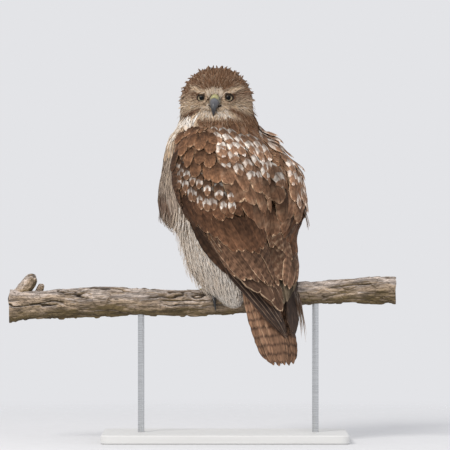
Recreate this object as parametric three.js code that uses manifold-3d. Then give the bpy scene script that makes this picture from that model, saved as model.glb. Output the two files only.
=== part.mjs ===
// A young red-tailed hawk, life size, fluffed up on a cut length of dead branch.
// It is seen from behind its left shoulder, with the head turned right back.
// Millimetres, +Z up, the branch along X. The origin is the centre of the base's underside.

import * as THREE from "three";
import { mergeVertices } from "three/addons/utils/BufferGeometryUtils.js";
import Module from "manifold-3d";

const wasm = await Module();
wasm.setup();

const rad = THREE.MathUtils.degToRad;

// Stance: where the body stands over the perch, and the way it and the head face.
const BODY_YAW = 50;
const BODY_X = 5;
const BODY_Y = -12;
const HEAD_TURN = 123;
const HEAD_LIFT = 0.5;
const HEAD_CENTRE = { x: 4.7, y: 24.1, z: 530.2 };
const GAP = 0.3;

// Horizontal sections of the body with its wings closed, from the neck down.
// mid is how far forward the section's centre lies; wide, front and back are its reaches.
const BODY_ROUND = 2.5;
const OUTLINE = [
  { z: 500, mid: 31, wide: 58, front: 48, back: 60 },
  { z: 488, mid: 28, wide: 68, front: 52, back: 64 },
  { z: 470, mid: 20, wide: 83, front: 72, back: 80 },
  { z: 451, mid: 12, wide: 93, front: 82, back: 86 },
  { z: 432, mid: 4, wide: 101, front: 95, back: 86 },
  { z: 412, mid: -3, wide: 106, front: 107, back: 85 },
  { z: 395, mid: -10, wide: 108, front: 119, back: 80 },
  { z: 358, mid: -22, wide: 106, front: 137, back: 71 },
  { z: 320, mid: -38, wide: 93, front: 98, back: 51 },
  { z: 284, mid: -53, wide: 87, front: 80, back: 38 },
  { z: 246, mid: -66, wide: 77, front: 50, back: 30 },
  { z: 210, mid: -78, wide: 58, front: 40, back: 22 },
  { z: 190, mid: -82, wide: 48, front: 36, back: 18 },
];

// The trunk alone: breast, belly and rump, slimmer where the wings lie on it.
const TRUNK = [
  { z: 494, mid: 30, wide: 58, front: 46, back: 56 },
  { z: 478, mid: 24, wide: 72, front: 66, back: 70 },
  { z: 460, mid: 16, wide: 80, front: 77, back: 80 },
  { z: 440, mid: 8, wide: 85, front: 90, back: 81 },
  { z: 415, mid: -3, wide: 89, front: 106, back: 76 },
  { z: 390, mid: -11, wide: 91, front: 122, back: 69 },
  { z: 365, mid: -19, wide: 90, front: 133, back: 62 },
  { z: 347, mid: -26, wide: 88, front: 134, back: 56 },
  { z: 335, mid: -30, wide: 84, front: 108, back: 50 },
  { z: 315, mid: -38, wide: 77, front: 95, back: 41 },
  { z: 295, mid: -45, wide: 68, front: 82, back: 33 },
  { z: 275, mid: -50, wide: 58, front: 66, back: 28 },
  { z: 258, mid: -53, wide: 46, front: 44, back: 24 },
  { z: 244, mid: -55, wide: 34, front: 26, back: 20 },
];

// The head's sections in its own frame, facing +Y, measured from between the eyes.
// HEAD_SWAY is how much farther the loose feathers reach on its right than on its left.
const HEAD_SWAY = 3;
const HEAD = [
  { z: 48, wide: 17, front: 14, back: 19 },
  { z: 42, wide: 29, front: 23, back: 32 },
  { z: 33, wide: 39.5, front: 31, back: 41 },
  { z: 23, wide: 47.5, front: 38, back: 47 },
  { z: 12, wide: 53, front: 40.5, back: 50 },
  { z: 2, wide: 56, front: 43.5, back: 52 },
  { z: -9, wide: 56, front: 43.5, back: 53 },
  { z: -20, wide: 57, front: 40, back: 54 },
  { z: -30, wide: 58, front: 32, back: 54 },
  { z: -38, wide: 52, front: 24, back: 48 },
];
const FACE_ROUND = 1.75;
const NAPE_ROUND = 2.1;

// The neck: a fluffed collar of round sections.
const NECK = [
  { z: 520, mid: 26, wide: 46, deep: 44 },
  { z: 508, mid: 25, wide: 56, deep: 54 },
  { z: 498, mid: 24, wide: 62, deep: 58 },
  { z: 488, mid: 24, wide: 68, deep: 62 },
  { z: 476, mid: 22, wide: 70, deep: 64 },
  { z: 462, mid: 20, wide: 66, deep: 60 },
];
const HEAD_CUT = 505;
const HEAD_CUT_TILT = -8;
const NECK_CUT = 481;

// Face: eyeballs set in the sides of the face, a short cere and a hooked bill.
const EYE_RADIUS = 9.8;
const EYE_SPREAD = 20.8;
const EYE_DEPTH = 31.5;
const BILL = [
  { y: 35, z: -2.5, wide: 8.6, high: 9 },
  { y: 43, z: -4, wide: 8.2, high: 9 },
  { y: 49.5, z: -8, wide: 7.4, high: 7.9 },
  { y: 55, z: -13, wide: 5.8, high: 6.4 },
  { y: 58.2, z: -19, wide: 3.8, high: 4.4 },
  { y: 58.8, z: -25, wide: 1.9, high: 2.3 },
  { y: 57.8, z: -29.3, wide: 0.6, high: 0.7 },
];
const BILL_BLUNT = 0.5;
const CERE_END = 49;
const LOWER_BILL = [
  { y: 35, z: -15, wide: 7.8, high: 3.6 },
  { y: 45, z: -17.4, wide: 5.8, high: 3.2 },
  { y: 52, z: -19.6, wide: 3.8, high: 2.4 },
  { y: 56, z: -21.2, wide: 1.4, high: 1.2 },
];

// Folded wings. from and to are angles round the body, from the spine (0) to the breast (180).
// loose is how far the right wing, which hangs looser than the left, stands off.
// WING_ROOM is how much more the wing grows in thickness than at its edges when it is grown.
const WING_TOP = 484;
const WING_END = 205;
const WING_ROOM = 1.5;
const WING = [
  { z: 484, from: 52, to: 74, thick: 12, loose: 2 },
  { z: 470, from: 32, to: 94, thick: 22, loose: 7 },
  { z: 452, from: 10, to: 104, thick: 24, loose: 9 },
  { z: 425, from: 2, to: 107, thick: 24, loose: 10 },
  { z: 395, from: 0.6, to: 106, thick: 24, loose: 12 },
  { z: 350, from: 0.5, to: 98.5, thick: 24, loose: 8 },
  { z: 320, from: 0.5, to: 97, thick: 23, loose: 0 },
  { z: 290, from: 0.5, to: 91.5, thick: 20, loose: 0 },
  { z: 265, from: 0, to: 83, thick: 16, loose: 0 },
  { z: 250, from: -1, to: 72, thick: 13, loose: 0 },
  { z: 236, from: -3, to: 46, thick: 10, loose: 0 },
  { z: 205, from: -8, to: 14, thick: 6, loose: 0 },
];

// Long primaries under each wing's edge, crossing over the tail.
const TIP_TWIST = -14;
const LEFT_TIP = [
  { z: 296, x: -62, y: -52, wide: 16, deep: 6 },
  { z: 262, x: -54, y: -62, wide: 22, deep: 6 },
  { z: 236, x: -36, y: -76, wide: 21, deep: 5.5 },
  { z: 209, x: -14, y: -87, wide: 20, deep: 5 },
  { z: 186, x: 5, y: -93, wide: 17, deep: 4 },
  { z: 160, x: 24, y: -98, wide: 9, deep: 2.6 },
];
const RIGHT_TIP = [
  { z: 296, x: 70, y: -60, wide: 16, deep: 6 },
  { z: 262, x: 66, y: -72, wide: 20, deep: 6 },
  { z: 236, x: 58, y: -83, wide: 19, deep: 5.5 },
  { z: 209, x: 50, y: -94, wide: 17, deep: 5 },
  { z: 186, x: 44, y: -101, wide: 14, deep: 4 },
  { z: 160, x: 38, y: -106, wide: 7, deep: 2.6 },
];

// Tail, hanging on the near side of the perch and turned a little on its own axis.
const TAIL_TWIST = -22;
const TAIL = [
  { z: 292, x: 1, y: -47, wide: 24, front: 14, back: 12 },
  { z: 262, x: 4, y: -58, wide: 29, front: 16, back: 11 },
  { z: 240, x: 5, y: -65, wide: 35, front: 13, back: 9 },
  { z: 217, x: 7, y: -72, wide: 38, front: 8, back: 7 },
  { z: 180, x: 9, y: -83, wide: 38.5, front: 5.5, back: 5.5 },
  { z: 140, x: 10.2, y: -95, wide: 37.5, front: 4, back: 4 },
  { z: 120, x: 10, y: -101, wide: 34, front: 2.5, back: 2.5 },
];

// Feathered thighs. The left one spills over the near side of the perch.
const LEFT_THIGH = [
  { z: 366, x: -44, y: 22, wide: 34, deep: 42 },
  { z: 330, x: -43, y: 13, wide: 39, deep: 43.5 },
  { z: 302, x: -40, y: 5, wide: 36, deep: 38 },
  { z: 284, x: -37, y: 4, wide: 33, deep: 39 },
  { z: 265, x: -32, y: -1, wide: 29, deep: 43 },
  { z: 250, x: -26, y: -5, wide: 26, deep: 45 },
  { z: 235, x: -20, y: -11.5, wide: 20, deep: 36 },
  { z: 220, x: -15, y: -19, wide: 15, deep: 25 },
  { z: 206, x: -12, y: -22, wide: 11, deep: 17 },
];
const RIGHT_THIGH = [
  { z: 366, x: 44, y: 20, wide: 34, deep: 42 },
  { z: 330, x: 44, y: 12, wide: 38, deep: 44 },
  { z: 302, x: 42, y: 4, wide: 36, deep: 42 },
  { z: 280, x: 36, y: -2, wide: 31, deep: 36 },
  { z: 260, x: 29, y: -7, wide: 25, deep: 30 },
  { z: 241, x: 26, y: -9, wide: 18, deep: 22 },
];

// Perch: a cut length of dead branch.
const PERCH_LEFT = -335;
const PERCH_RIGHT = 265;
const PERCH = [
  { x: -350, z: 209, radius: 25.5 },
  { x: -320, z: 211, radius: 23 },
  { x: -270, z: 214, radius: 20.5 },
  { x: -200, z: 216.5, radius: 22.5 },
  { x: -120, z: 215, radius: 21 },
  { x: -40, z: 214, radius: 18.5 },
  { x: 20, z: 217.5, radius: 20 },
  { x: 80, z: 224, radius: 19.5 },
  { x: 150, z: 230, radius: 17.5 },
  { x: 200, z: 235, radius: 18 },
  { x: 240, z: 235.5, radius: 20.5 },
  { x: 280, z: 235, radius: 20 },
];
const STUB = { foot: [-320, 0, 216], tip: [-296, -4, 255], radius: 9.5 };
const TWIG_FLARE = 1.35;
const NUB = { foot: [-289, 2, 226], tip: [-284, 1, 243], radius: 4.5 };

// Feet: where each stands on the perch, and each toe's bearing, length and thickness.
const FOOT_LEFT_X = -21;
const FOOT_RIGHT_X = 29;
const FOOT_TURN = -8;
const TOES = [
  { name: "inner", bearing: 24, length: 33, radius: 5.2, claw: 22 },
  { name: "middle", bearing: 0, length: 42, radius: 5, claw: 18 },
  { name: "outer", bearing: -34, length: 34, radius: 4.6, claw: 15 },
  { name: "hind", bearing: 180, length: 26, radius: 5.4, claw: 24 },
];
const TOE_SWELL = { root: 1.1, tip: 0.8 };
const TOE_LIFT = { root: 1.12, tip: 0.85 };
const CLAW = { sunk: 3, lift: 0.9, tipLift: 1.4, root: 0.62, tip: 0.7 };
const SOLE = { wide: 9, deep: 10, high: 6.5, lift: 5.5 };
const SHANK_RADIUS = 6;
const SHANK_RISE = 34;

// Stand: a flat base and two steel rods let into the underside of the perch.
const BASE_LENGTH = 380;
const BASE_DEPTH = 210;
const BASE_THICK = 14;
const BASE_CORNER = 14;
const BASE_BEVEL = 2;
const ROD_RADIUS = 5;
const ROD_SOCKET = 7;
const ROD_PLACES = { left: -130, right: 140 };

// Facets round and along each lofted shape, and how squarely its ends close.
const LOFTS = {
  trunk: { around: 24, along: 16, firm: 7 },
  neck: { around: 22, along: 7, firm: 10 },
  head: { around: 22, along: 14, firm: 10 },
  wing: { around: 16, along: 16, firm: 8 },
  thigh: { around: 14, along: 10, firm: 5 },
  wingTip: { around: 10, along: 11, firm: 5 },
  tail: { around: 12, along: 12, firm: 7 },
  bill: { around: 10, along: 10, firm: 12 },
  shank: { around: 8, along: 4, firm: 8 },
  toe: { around: 6, along: 6, firm: 8 },
  claw: { around: 6, along: 6, firm: 6 },
};
const PERCH_FACETS = { around: 12, along: 19 };

// Powers that flatten a pad's faces and keep its edges round.
const PAD_EDGE = 0.8;
const PAD_FACE = 0.6;

// Values between the rows of a table, on a smooth line through them.
function rowAt(rows, key, at) {
  const rising = rows[0][key] < rows[rows.length - 1][key];
  const line = rising ? rows : [...rows].reverse();
  let i = 0;
  while (i < line.length - 2 && line[i + 1][key] <= at) i++;
  const lower = line[i];
  const upper = line[i + 1];
  const span = upper[key] - lower[key];
  const t = THREE.MathUtils.clamp((at - lower[key]) / span, 0, 1);
  const before = line[Math.max(i - 1, 0)];
  const after = line[Math.min(i + 2, line.length - 1)];
  const row = {};
  for (const name of Object.keys(lower)) {
    const startSlope = ((upper[name] - before[name]) / (upper[key] - before[key])) * span;
    const endSlope = ((after[name] - lower[name]) / (after[key] - lower[key])) * span;
    const rise = upper[name] - lower[name];
    const bend = 3 * rise - 2 * startSlope - endSlope;
    const settle = startSlope + endSlope - 2 * rise;
    row[name] = lower[name] + t * (startSlope + t * (bend + t * settle));
  }
  return row;
}

// A power that keeps its sign, which squares or pinches a round section.
const bulge = (value, power) => Math.sign(value) * Math.pow(Math.abs(value), power);

// How full a loft is along its length: rounded shut at both ends, the firmer the squarer.
const ending = (along, firmness) => {
  return Math.pow(Math.max(0, 1 - Math.pow(Math.abs(2 * along - 1), firmness)), 1 / firmness);
};

// A closed surface over a ball of points. place gives each point from how far along it is
// (0 to 1), its angle, whether it is off the axis (1 or 0) and how full the loft is there.
function loft(mesh, place) {
  const ball = new THREE.SphereGeometry(1, mesh.around, mesh.along);
  const points = ball.attributes.position;
  const point = new THREE.Vector3();
  for (let i = 0; i < points.count; i++) {
    point.fromBufferAttribute(points, i);
    const way = THREE.MathUtils.clamp(0.5 - 0.5 * point.y, 0, 1);
    const ring = Math.hypot(point.x, point.z);
    const angle = ring > 1e-6 ? Math.atan2(point.z, point.x) : 0;
    const placed = place(way, angle, ring > 1e-6 ? 1 : 0, ending(way, mesh.firm));
    points.setXYZ(i, placed.x, placed.y, placed.z);
  }
  return ball;
}

// Positions only, corners shared, faces pointing out.
function closedMesh(geometry) {
  const bare = geometry.clone();
  bare.deleteAttribute("normal");
  bare.deleteAttribute("uv");
  const merged = mergeVertices(bare, 1e-4);
  const points = merged.attributes.position.array;
  const corners = [];
  let volume = 0;
  for (let i = 0; i < merged.index.count; i += 3) {
    const [a, b, c] = [merged.index.getX(i), merged.index.getX(i + 1), merged.index.getX(i + 2)];
    if (a === b || b === c || c === a) continue;
    corners.push(a, b, c);
    const [p, q, r] = [a, b, c].map((n) => new THREE.Vector3().fromArray(points, 3 * n));
    volume += p.dot(q.cross(r));
  }
  if (volume < 0) {
    for (let i = 0; i < corners.length; i += 3) {
      [corners[i], corners[i + 1]] = [corners[i + 1], corners[i]];
    }
  }
  return { vertProperties: new Float32Array(points), triVerts: new Uint32Array(corners) };
}

function solid(geometry, matrix) {
  const placed = matrix ? geometry.clone().applyMatrix4(matrix) : geometry;
  return new wasm.Manifold(new wasm.Mesh({ numProp: 3, ...closedMesh(placed) }));
}

// The largest part of a cut solid; slivers that a cut frees are dropped.
function mainPart(body) {
  const parts = body.decompose();
  return parts.reduce((best, part) => (part.volume() > best.volume() ? part : best));
}

function geometryOf(body) {
  const mesh = mainPart(body).getMesh();
  const geometry = new THREE.BufferGeometry();
  geometry.setAttribute("position", new THREE.BufferAttribute(mesh.vertProperties, 3));
  geometry.setIndex(new THREE.BufferAttribute(mesh.triVerts, 1));
  geometry.computeVertexNormals();
  return geometry;
}

// Frames of the body and of the head.
const toBody = new THREE.Matrix4().makeRotationZ(rad(BODY_YAW)).setPosition(BODY_X, BODY_Y, 0);
const toHead = toBody
  .clone()
  .multiply(new THREE.Matrix4().makeTranslation(HEAD_CENTRE.x, HEAD_CENTRE.y, HEAD_CENTRE.z))
  .multiply(new THREE.Matrix4().makeRotationZ(rad(HEAD_TURN)))
  .multiply(new THREE.Matrix4().makeRotationX(rad(HEAD_LIFT)));

// A point on a body section at an angle from the spine, left side first, grown outward.
function sectionPoint(row, angle, grow) {
  const power = 2 / BODY_ROUND;
  const cosine = Math.cos(angle);
  const depth = (cosine > 0 ? row.back : row.front) + grow;
  return new THREE.Vector3(
    -(row.wide + grow) * bulge(Math.sin(angle), power),
    row.mid - depth * bulge(cosine, power),
    row.z,
  );
}

function trunk(grow) {
  const [top, bottom] = [TRUNK[0].z, TRUNK[TRUNK.length - 1].z];
  return loft(LOFTS.trunk, (along, angle, ring, full) => {
    const z = top + grow + (bottom - top - 2 * grow) * along;
    const row = rowAt(TRUNK, "z", THREE.MathUtils.clamp(z, bottom, top));
    const point = sectionPoint(row, angle, grow);
    return new THREE.Vector3(point.x * full, row.mid + (point.y - row.mid) * full, z);
  });
}

function neck(grow) {
  const [top, bottom] = [NECK[0].z, NECK[NECK.length - 1].z];
  return loft(LOFTS.neck, (along, angle, ring, full) => {
    const z = top + (bottom - top) * along;
    const row = rowAt(NECK, "z", z);
    return new THREE.Vector3(
      HEAD_CENTRE.x + (row.wide + grow) * Math.cos(angle) * full,
      row.mid + (row.deep + grow) * Math.sin(angle) * full,
      z,
    );
  });
}

function head(grow) {
  const [top, bottom] = [HEAD[0].z, HEAD[HEAD.length - 1].z];
  return loft(LOFTS.head, (along, angle, ring, full) => {
    const z = top + grow + (bottom - top - 2 * grow) * along;
    const row = rowAt(HEAD, "z", THREE.MathUtils.clamp(z, bottom, top));
    const forward = Math.sin(angle) > 0;
    const power = 2 / (forward ? FACE_ROUND : NAPE_ROUND);
    const depth = (forward ? row.front : row.back) + grow;
    return new THREE.Vector3(
      ((row.wide + grow) * bulge(Math.cos(angle), power) + HEAD_SWAY) * full,
      depth * bulge(Math.sin(angle), power) * full,
      z,
    );
  });
}

// A wing lies on the body's outline as a curved pad between two angles.
function wing(side, grow) {
  return loft(LOFTS.wing, (along, angle, ring, full) => {
    const z = WING_TOP + grow + (WING_END - WING_TOP - 2 * grow) * along;
    const at = THREE.MathUtils.clamp(z, WING_END, WING_TOP);
    const row = rowAt(WING, "z", at);
    const outline = rowAt(OUTLINE, "z", at);
    const middle = (row.from + row.to) / 2;
    const reach = ((row.to - row.from) / 2 + grow) * full;
    const around = middle + reach * bulge(Math.cos(angle), PAD_EDGE);
    const flare = side > 0 ? row.loose : 0;
    const half = (row.thick * full) / 2;
    const lift = flare - half + (half + WING_ROOM * grow) * bulge(Math.sin(angle), PAD_FACE);
    const point = sectionPoint(outline, rad(around), lift);
    return new THREE.Vector3(-side * point.x, point.y, z);
  });
}

// A flat tapering bundle of long feathers along a line of sections.
function bundle(rows, mesh, twist, grow) {
  const [top, bottom] = [rows[0].z, rows[rows.length - 1].z];
  return loft(mesh, (along, angle, ring, full) => {
    const z = top + grow + (bottom - top - 2 * grow) * along;
    const row = rowAt(rows, "z", THREE.MathUtils.clamp(z, bottom, top));
    const reach = row.deep ?? (Math.sin(angle) > 0 ? row.front : row.back);
    const side = (row.wide + grow) * bulge(Math.cos(angle), PAD_EDGE) * full;
    const depth = (reach + grow) * bulge(Math.sin(angle), PAD_EDGE) * full;
    return new THREE.Vector3(
      row.x + side * Math.cos(twist) - depth * Math.sin(twist),
      row.y + side * Math.sin(twist) + depth * Math.cos(twist),
      z,
    );
  });
}

// A bill half, swept forward and down, in the head's frame.
function billHalf(rows, grow) {
  const path = new THREE.CatmullRomCurve3(rows.map((row) => new THREE.Vector3(0, row.y, row.z)));
  const widths = new THREE.SplineCurve(rows.map((row) => new THREE.Vector2(row.wide, row.high)));
  return loft(LOFTS.bill, (along, angle, ring, full) => {
    const centre = path.getPoint(along);
    const ahead = path.getTangent(along);
    const size = widths.getPoint(along);
    const up = new THREE.Vector3(0, -ahead.z, ahead.y);
    const round = ring * (along < 0.5 ? 1 : Math.max(full, BILL_BLUNT));
    return centre
      .clone()
      .addScaledVector(new THREE.Vector3(1, 0, 0), (size.x + grow) * Math.cos(angle) * round)
      .addScaledVector(up, (size.y + grow) * Math.sin(angle) * round);
  });
}

// The perch with the lumps of weathered wood; grow widens it for cutting its neighbours.
function perch(grow) {
  const length = PERCH_RIGHT - PERCH_LEFT;
  const { around, along } = PERCH_FACETS;
  const bar = new THREE.CylinderGeometry(1, 1, 1, around, along);
  const points = bar.attributes.position;
  for (let i = 0; i < points.count; i++) {
    const ring = Math.hypot(points.getX(i), points.getZ(i));
    const angle = Math.atan2(points.getX(i), points.getZ(i));
    const x = PERCH_LEFT + length / 2 + points.getY(i) * (length + 2 * grow);
    const row = rowAt(PERCH, "x", x);
    const lumps = 0.05 * Math.sin(3 * angle + x / 41) + 0.035 * Math.sin(5 * angle - x / 23);
    const radius = ring * (row.radius * (1 + lumps) + grow);
    points.setXYZ(i, x, -radius * Math.cos(angle), row.z + radius * Math.sin(angle));
  }
  return bar;
}

// A broken side twig, thicker at the foot.
function twig(shape) {
  const foot = new THREE.Vector3(...shape.foot);
  const way = new THREE.Vector3(...shape.tip).sub(foot);
  const [top, bottom] = [shape.radius, shape.radius * TWIG_FLARE];
  const post = new THREE.CylinderGeometry(top, bottom, way.length(), 10, 2);
  post.translate(0, way.length() / 2, 0);
  const turn = new THREE.Quaternion().setFromUnitVectors(
    new THREE.Vector3(0, 1, 0),
    way.clone().normalize(),
  );
  post.applyQuaternion(turn);
  post.translate(foot.x, foot.y, foot.z);
  return post;
}

// Where something lies on the perch: run is how far it has gone from the top, along a bearing.
function onPerch(startX, run, bearing, lift) {
  const along = startX + run * Math.sin(bearing);
  const row = rowAt(PERCH, "x", along);
  const turn = (run * Math.cos(bearing)) / (row.radius + lift);
  const reach = row.radius * 1.03 + lift;
  return new THREE.Vector3(along, reach * Math.sin(turn), row.z + reach * Math.cos(turn));
}

// A tapering round limb along a curve, from one radius to another.
function limb(path, startRadius, endRadius, mesh) {
  const steps = 64;
  const frames = path.computeFrenetFrames(steps, false);
  return loft(mesh, (along, angle, ring, full) => {
    const n = Math.round(along * steps);
    const radius = (startRadius + (endRadius - startRadius) * along) * ring * full;
    return path
      .getPointAt(along)
      .addScaledVector(frames.normals[n], radius * Math.cos(angle))
      .addScaledVector(frames.binormals[n], radius * Math.sin(angle));
  });
}

// The line of a toe or claw over the bark, from one run to another.
function toePath(leg, toe, from, to, liftStart, liftEnd) {
  const points = [];
  const steps = 8;
  for (let i = 0; i <= steps; i++) {
    const t = i / steps;
    const run = from + (to - from) * t;
    const lift = liftStart + (liftEnd - liftStart) * t;
    points.push(onPerch(leg.x, run, rad(toe.bearing * -leg.side + FOOT_TURN), lift));
  }
  return new THREE.CatmullRomCurve3(points);
}

// One foot: a pad over the perch with four toes curled round it.
function foot(leg, grow) {
  const top = onPerch(leg.x, 0, 0, SOLE.lift);
  const pad = new THREE.SphereGeometry(1, 8, 6);
  pad.scale(SOLE.wide + grow, SOLE.deep + grow, SOLE.high + grow);
  let body = solid(pad.translate(top.x, top.y, top.z));
  for (const toe of TOES) {
    const reach = toe.length + grow;
    const path = toePath(leg, toe, 0, reach, toe.radius * TOE_LIFT.root, toe.radius * TOE_LIFT.tip);
    const [root, tip] = [toe.radius * TOE_SWELL.root + grow, toe.radius * TOE_SWELL.tip + grow];
    body = body.add(solid(limb(path, root, tip, LOFTS.toe)));
  }
  return body;
}

// A claw: its root is sunk in the toe's end.
function claw(leg, toe, grow) {
  const start = toe.length - CLAW.sunk;
  const path = toePath(leg, toe, start, start + toe.claw, toe.radius * CLAW.lift, CLAW.tipLift);
  return solid(limb(path, toe.radius * CLAW.root + grow, CLAW.tip + grow, LOFTS.claw));
}

// A bare shank, leaning from the sole up into the thigh.
function shank(leg, grow) {
  const top = onPerch(leg.x, 0, 0, SHANK_RADIUS + 1);
  const lean = leg.lean;
  const path = new THREE.CatmullRomCurve3([
    new THREE.Vector3(top.x, top.y, top.z),
    new THREE.Vector3(top.x + lean.x * 0.5, top.y + lean.y * 0.5, top.z + SHANK_RISE / 2),
    new THREE.Vector3(top.x + lean.x, top.y + lean.y, top.z + SHANK_RISE),
  ]);
  return solid(limb(path, SHANK_RADIUS + grow, SHANK_RADIUS + 1 + grow, LOFTS.shank));
}

const thigh = (rows, grow) => solid(bundle(rows, LOFTS.thigh, 0, grow), toBody);
const wingTip = (rows, grow) => solid(bundle(rows, LOFTS.wingTip, rad(TIP_TWIST), grow), toBody);
const tailFan = (grow) => solid(bundle(TAIL, LOFTS.tail, rad(TAIL_TWIST), grow), toBody);
const wingPad = (side, grow) => solid(wing(side, grow), toBody);

// Half of space above or below a tilted level, as a big box.
function halfSpace(level, tilt, upward) {
  const size = 900;
  const box = new THREE.BoxGeometry(size, size, size);
  box.translate(0, 0, (upward ? 1 : -1) * (size / 2 + GAP / 2));
  box.rotateX(rad(tilt));
  box.translate(0, HEAD_CENTRE.y, level);
  return solid(box, toBody);
}

// Colours of the parts.
const paint = (color, roughness, metalness = 0) => {
  return () => new THREE.MeshStandardMaterial({ color, roughness, metalness });
};
const FINISH = {
  crown: paint(0x6f5038, 0.9),
  breast: paint(0xcfc2ad, 0.95),
  wing: paint(0x5d4434, 0.85),
  primaries: paint(0x2c211c, 0.8),
  tail: paint(0x8a6a4c, 0.85),
  thigh: paint(0xe6e0d2, 0.95),
  scale: paint(0xc9bb6a, 0.6),
  claw: paint(0x22211f, 0.35),
  bill: paint(0x5a5d66, 0.35),
  cere: paint(0xb9c07a, 0.55),
  iris: paint(0xb8b08c, 0.1),
  bark: paint(0x9a8a76, 0.95),
  base: paint(0xd9d6d0, 0.6),
  steel: paint(0xb8babd, 0.3, 1),
};

const group = new THREE.Group();

function add(name, geometry, finish, place) {
  const mesh = new THREE.Mesh(geometry, finish());
  mesh.name = name;
  if (place) mesh.position.copy(place);
  group.add(mesh);
}

const addSolid = (name, body, finish) => add(name, geometryOf(body), finish);
const cut = (body, ...rooms) => rooms.reduce((rest, room) => rest.subtract(room), body);

// Perch, drilled for the rods, with its twigs.
const rods = Object.entries(ROD_PLACES).map(([name, x]) => {
  const row = rowAt(PERCH, "x", x);
  const start = BASE_THICK - ROD_SOCKET;
  const end = row.z - row.radius + ROD_SOCKET;
  return { name, place: new THREE.Vector3(x, 0, (start + end) / 2), length: end - start };
});
const rodShape = (rod, grow) => {
  const radius = ROD_RADIUS + grow;
  return new THREE.CylinderGeometry(radius, radius, rod.length + 2 * grow, 16).rotateX(Math.PI / 2);
};
const rodRooms = rods.map((rod) => solid(rodShape(rod, GAP).translate(...rod.place)));
const perchRoom = solid(perch(GAP));
addSolid("perch_branch", cut(solid(perch(0)), ...rodRooms), FINISH.bark);
addSolid("perch_stub", cut(solid(twig(STUB)), perchRoom), FINISH.bark);
addSolid("perch_nub", cut(solid(twig(NUB)), perchRoom), FINISH.bark);

// Stand.
const plate = new THREE.Shape();
const [halfLength, halfDepth] = [BASE_LENGTH / 2 - BASE_BEVEL, BASE_DEPTH / 2 - BASE_BEVEL];
const corner = BASE_CORNER - BASE_BEVEL;
plate.moveTo(-halfLength + corner, -halfDepth);
plate.lineTo(halfLength - corner, -halfDepth);
plate.absarc(halfLength - corner, -halfDepth + corner, corner, -Math.PI / 2, 0);
plate.lineTo(halfLength, halfDepth - corner);
plate.absarc(halfLength - corner, halfDepth - corner, corner, 0, Math.PI / 2);
plate.lineTo(-halfLength + corner, halfDepth);
plate.absarc(-halfLength + corner, halfDepth - corner, corner, Math.PI / 2, Math.PI);
plate.lineTo(-halfLength, -halfDepth + corner);
plate.absarc(-halfLength + corner, -halfDepth + corner, corner, Math.PI, 1.5 * Math.PI);
const base = new THREE.ExtrudeGeometry(plate, {
  depth: BASE_THICK - 2 * BASE_BEVEL,
  bevelThickness: BASE_BEVEL,
  bevelSize: BASE_BEVEL,
  bevelSegments: 1,
  curveSegments: 4,
}).translate(0, 0, BASE_BEVEL);
addSolid("stand_base", cut(solid(base), ...rodRooms), FINISH.base);
for (const rod of rods) add(`stand_rod_${rod.name}`, rodShape(rod, 0), FINISH.steel, rod.place);

// Flesh: one shape, parted at the head and at the neck by thin cuts.
const eyeX = { left: -EYE_SPREAD, right: EYE_SPREAD };
const eyeCentre = (x) => new THREE.Vector3(x, EYE_DEPTH, 0).applyMatrix4(toHead);
const eyeBall = (grow) => new THREE.SphereGeometry(EYE_RADIUS + grow, 12, 9);
const fleshOf = (grow) => {
  return solid(trunk(grow), toBody).add(solid(neck(grow), toBody)).add(solid(head(grow), toHead));
};
const flesh = fleshOf(0);
const fleshRoom = fleshOf(GAP);
const eyeRooms = Object.values(eyeX).map((x) => solid(eyeBall(GAP).translate(...eyeCentre(x))));
const aboveHeadCut = halfSpace(HEAD_CUT, HEAD_CUT_TILT, true);
const belowHeadCut = halfSpace(HEAD_CUT, HEAD_CUT_TILT, false);
addSolid("head", cut(flesh.intersect(aboveHeadCut), ...eyeRooms), FINISH.crown);
const collar = flesh.intersect(belowHeadCut).intersect(halfSpace(NECK_CUT, 0, true));
addSolid("neck", collar, FINISH.crown);

// Face.
for (const [name, x] of Object.entries(eyeX)) {
  add(`eye_${name}`, eyeBall(0), FINISH.iris, eyeCentre(x));
}
const billUpper = solid(billHalf(BILL, 0), toHead);
const faceSlab = (from, to) => {
  const box = new THREE.BoxGeometry(60, to - from, 90).translate(0, (from + to) / 2, 0);
  return solid(box, toHead);
};
const billRoom = solid(billHalf(BILL, GAP), toHead);
const beak = cut(billUpper, fleshRoom);
addSolid("cere", beak.intersect(faceSlab(0, CERE_END - GAP / 2)), FINISH.cere);
addSolid("bill_upper", beak.intersect(faceSlab(CERE_END + GAP / 2, 120)), FINISH.bill);
const lowerBill = solid(billHalf(LOWER_BILL, 0), toHead);
addSolid("bill_lower", cut(lowerBill, fleshRoom, billRoom), FINISH.bill);

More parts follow.
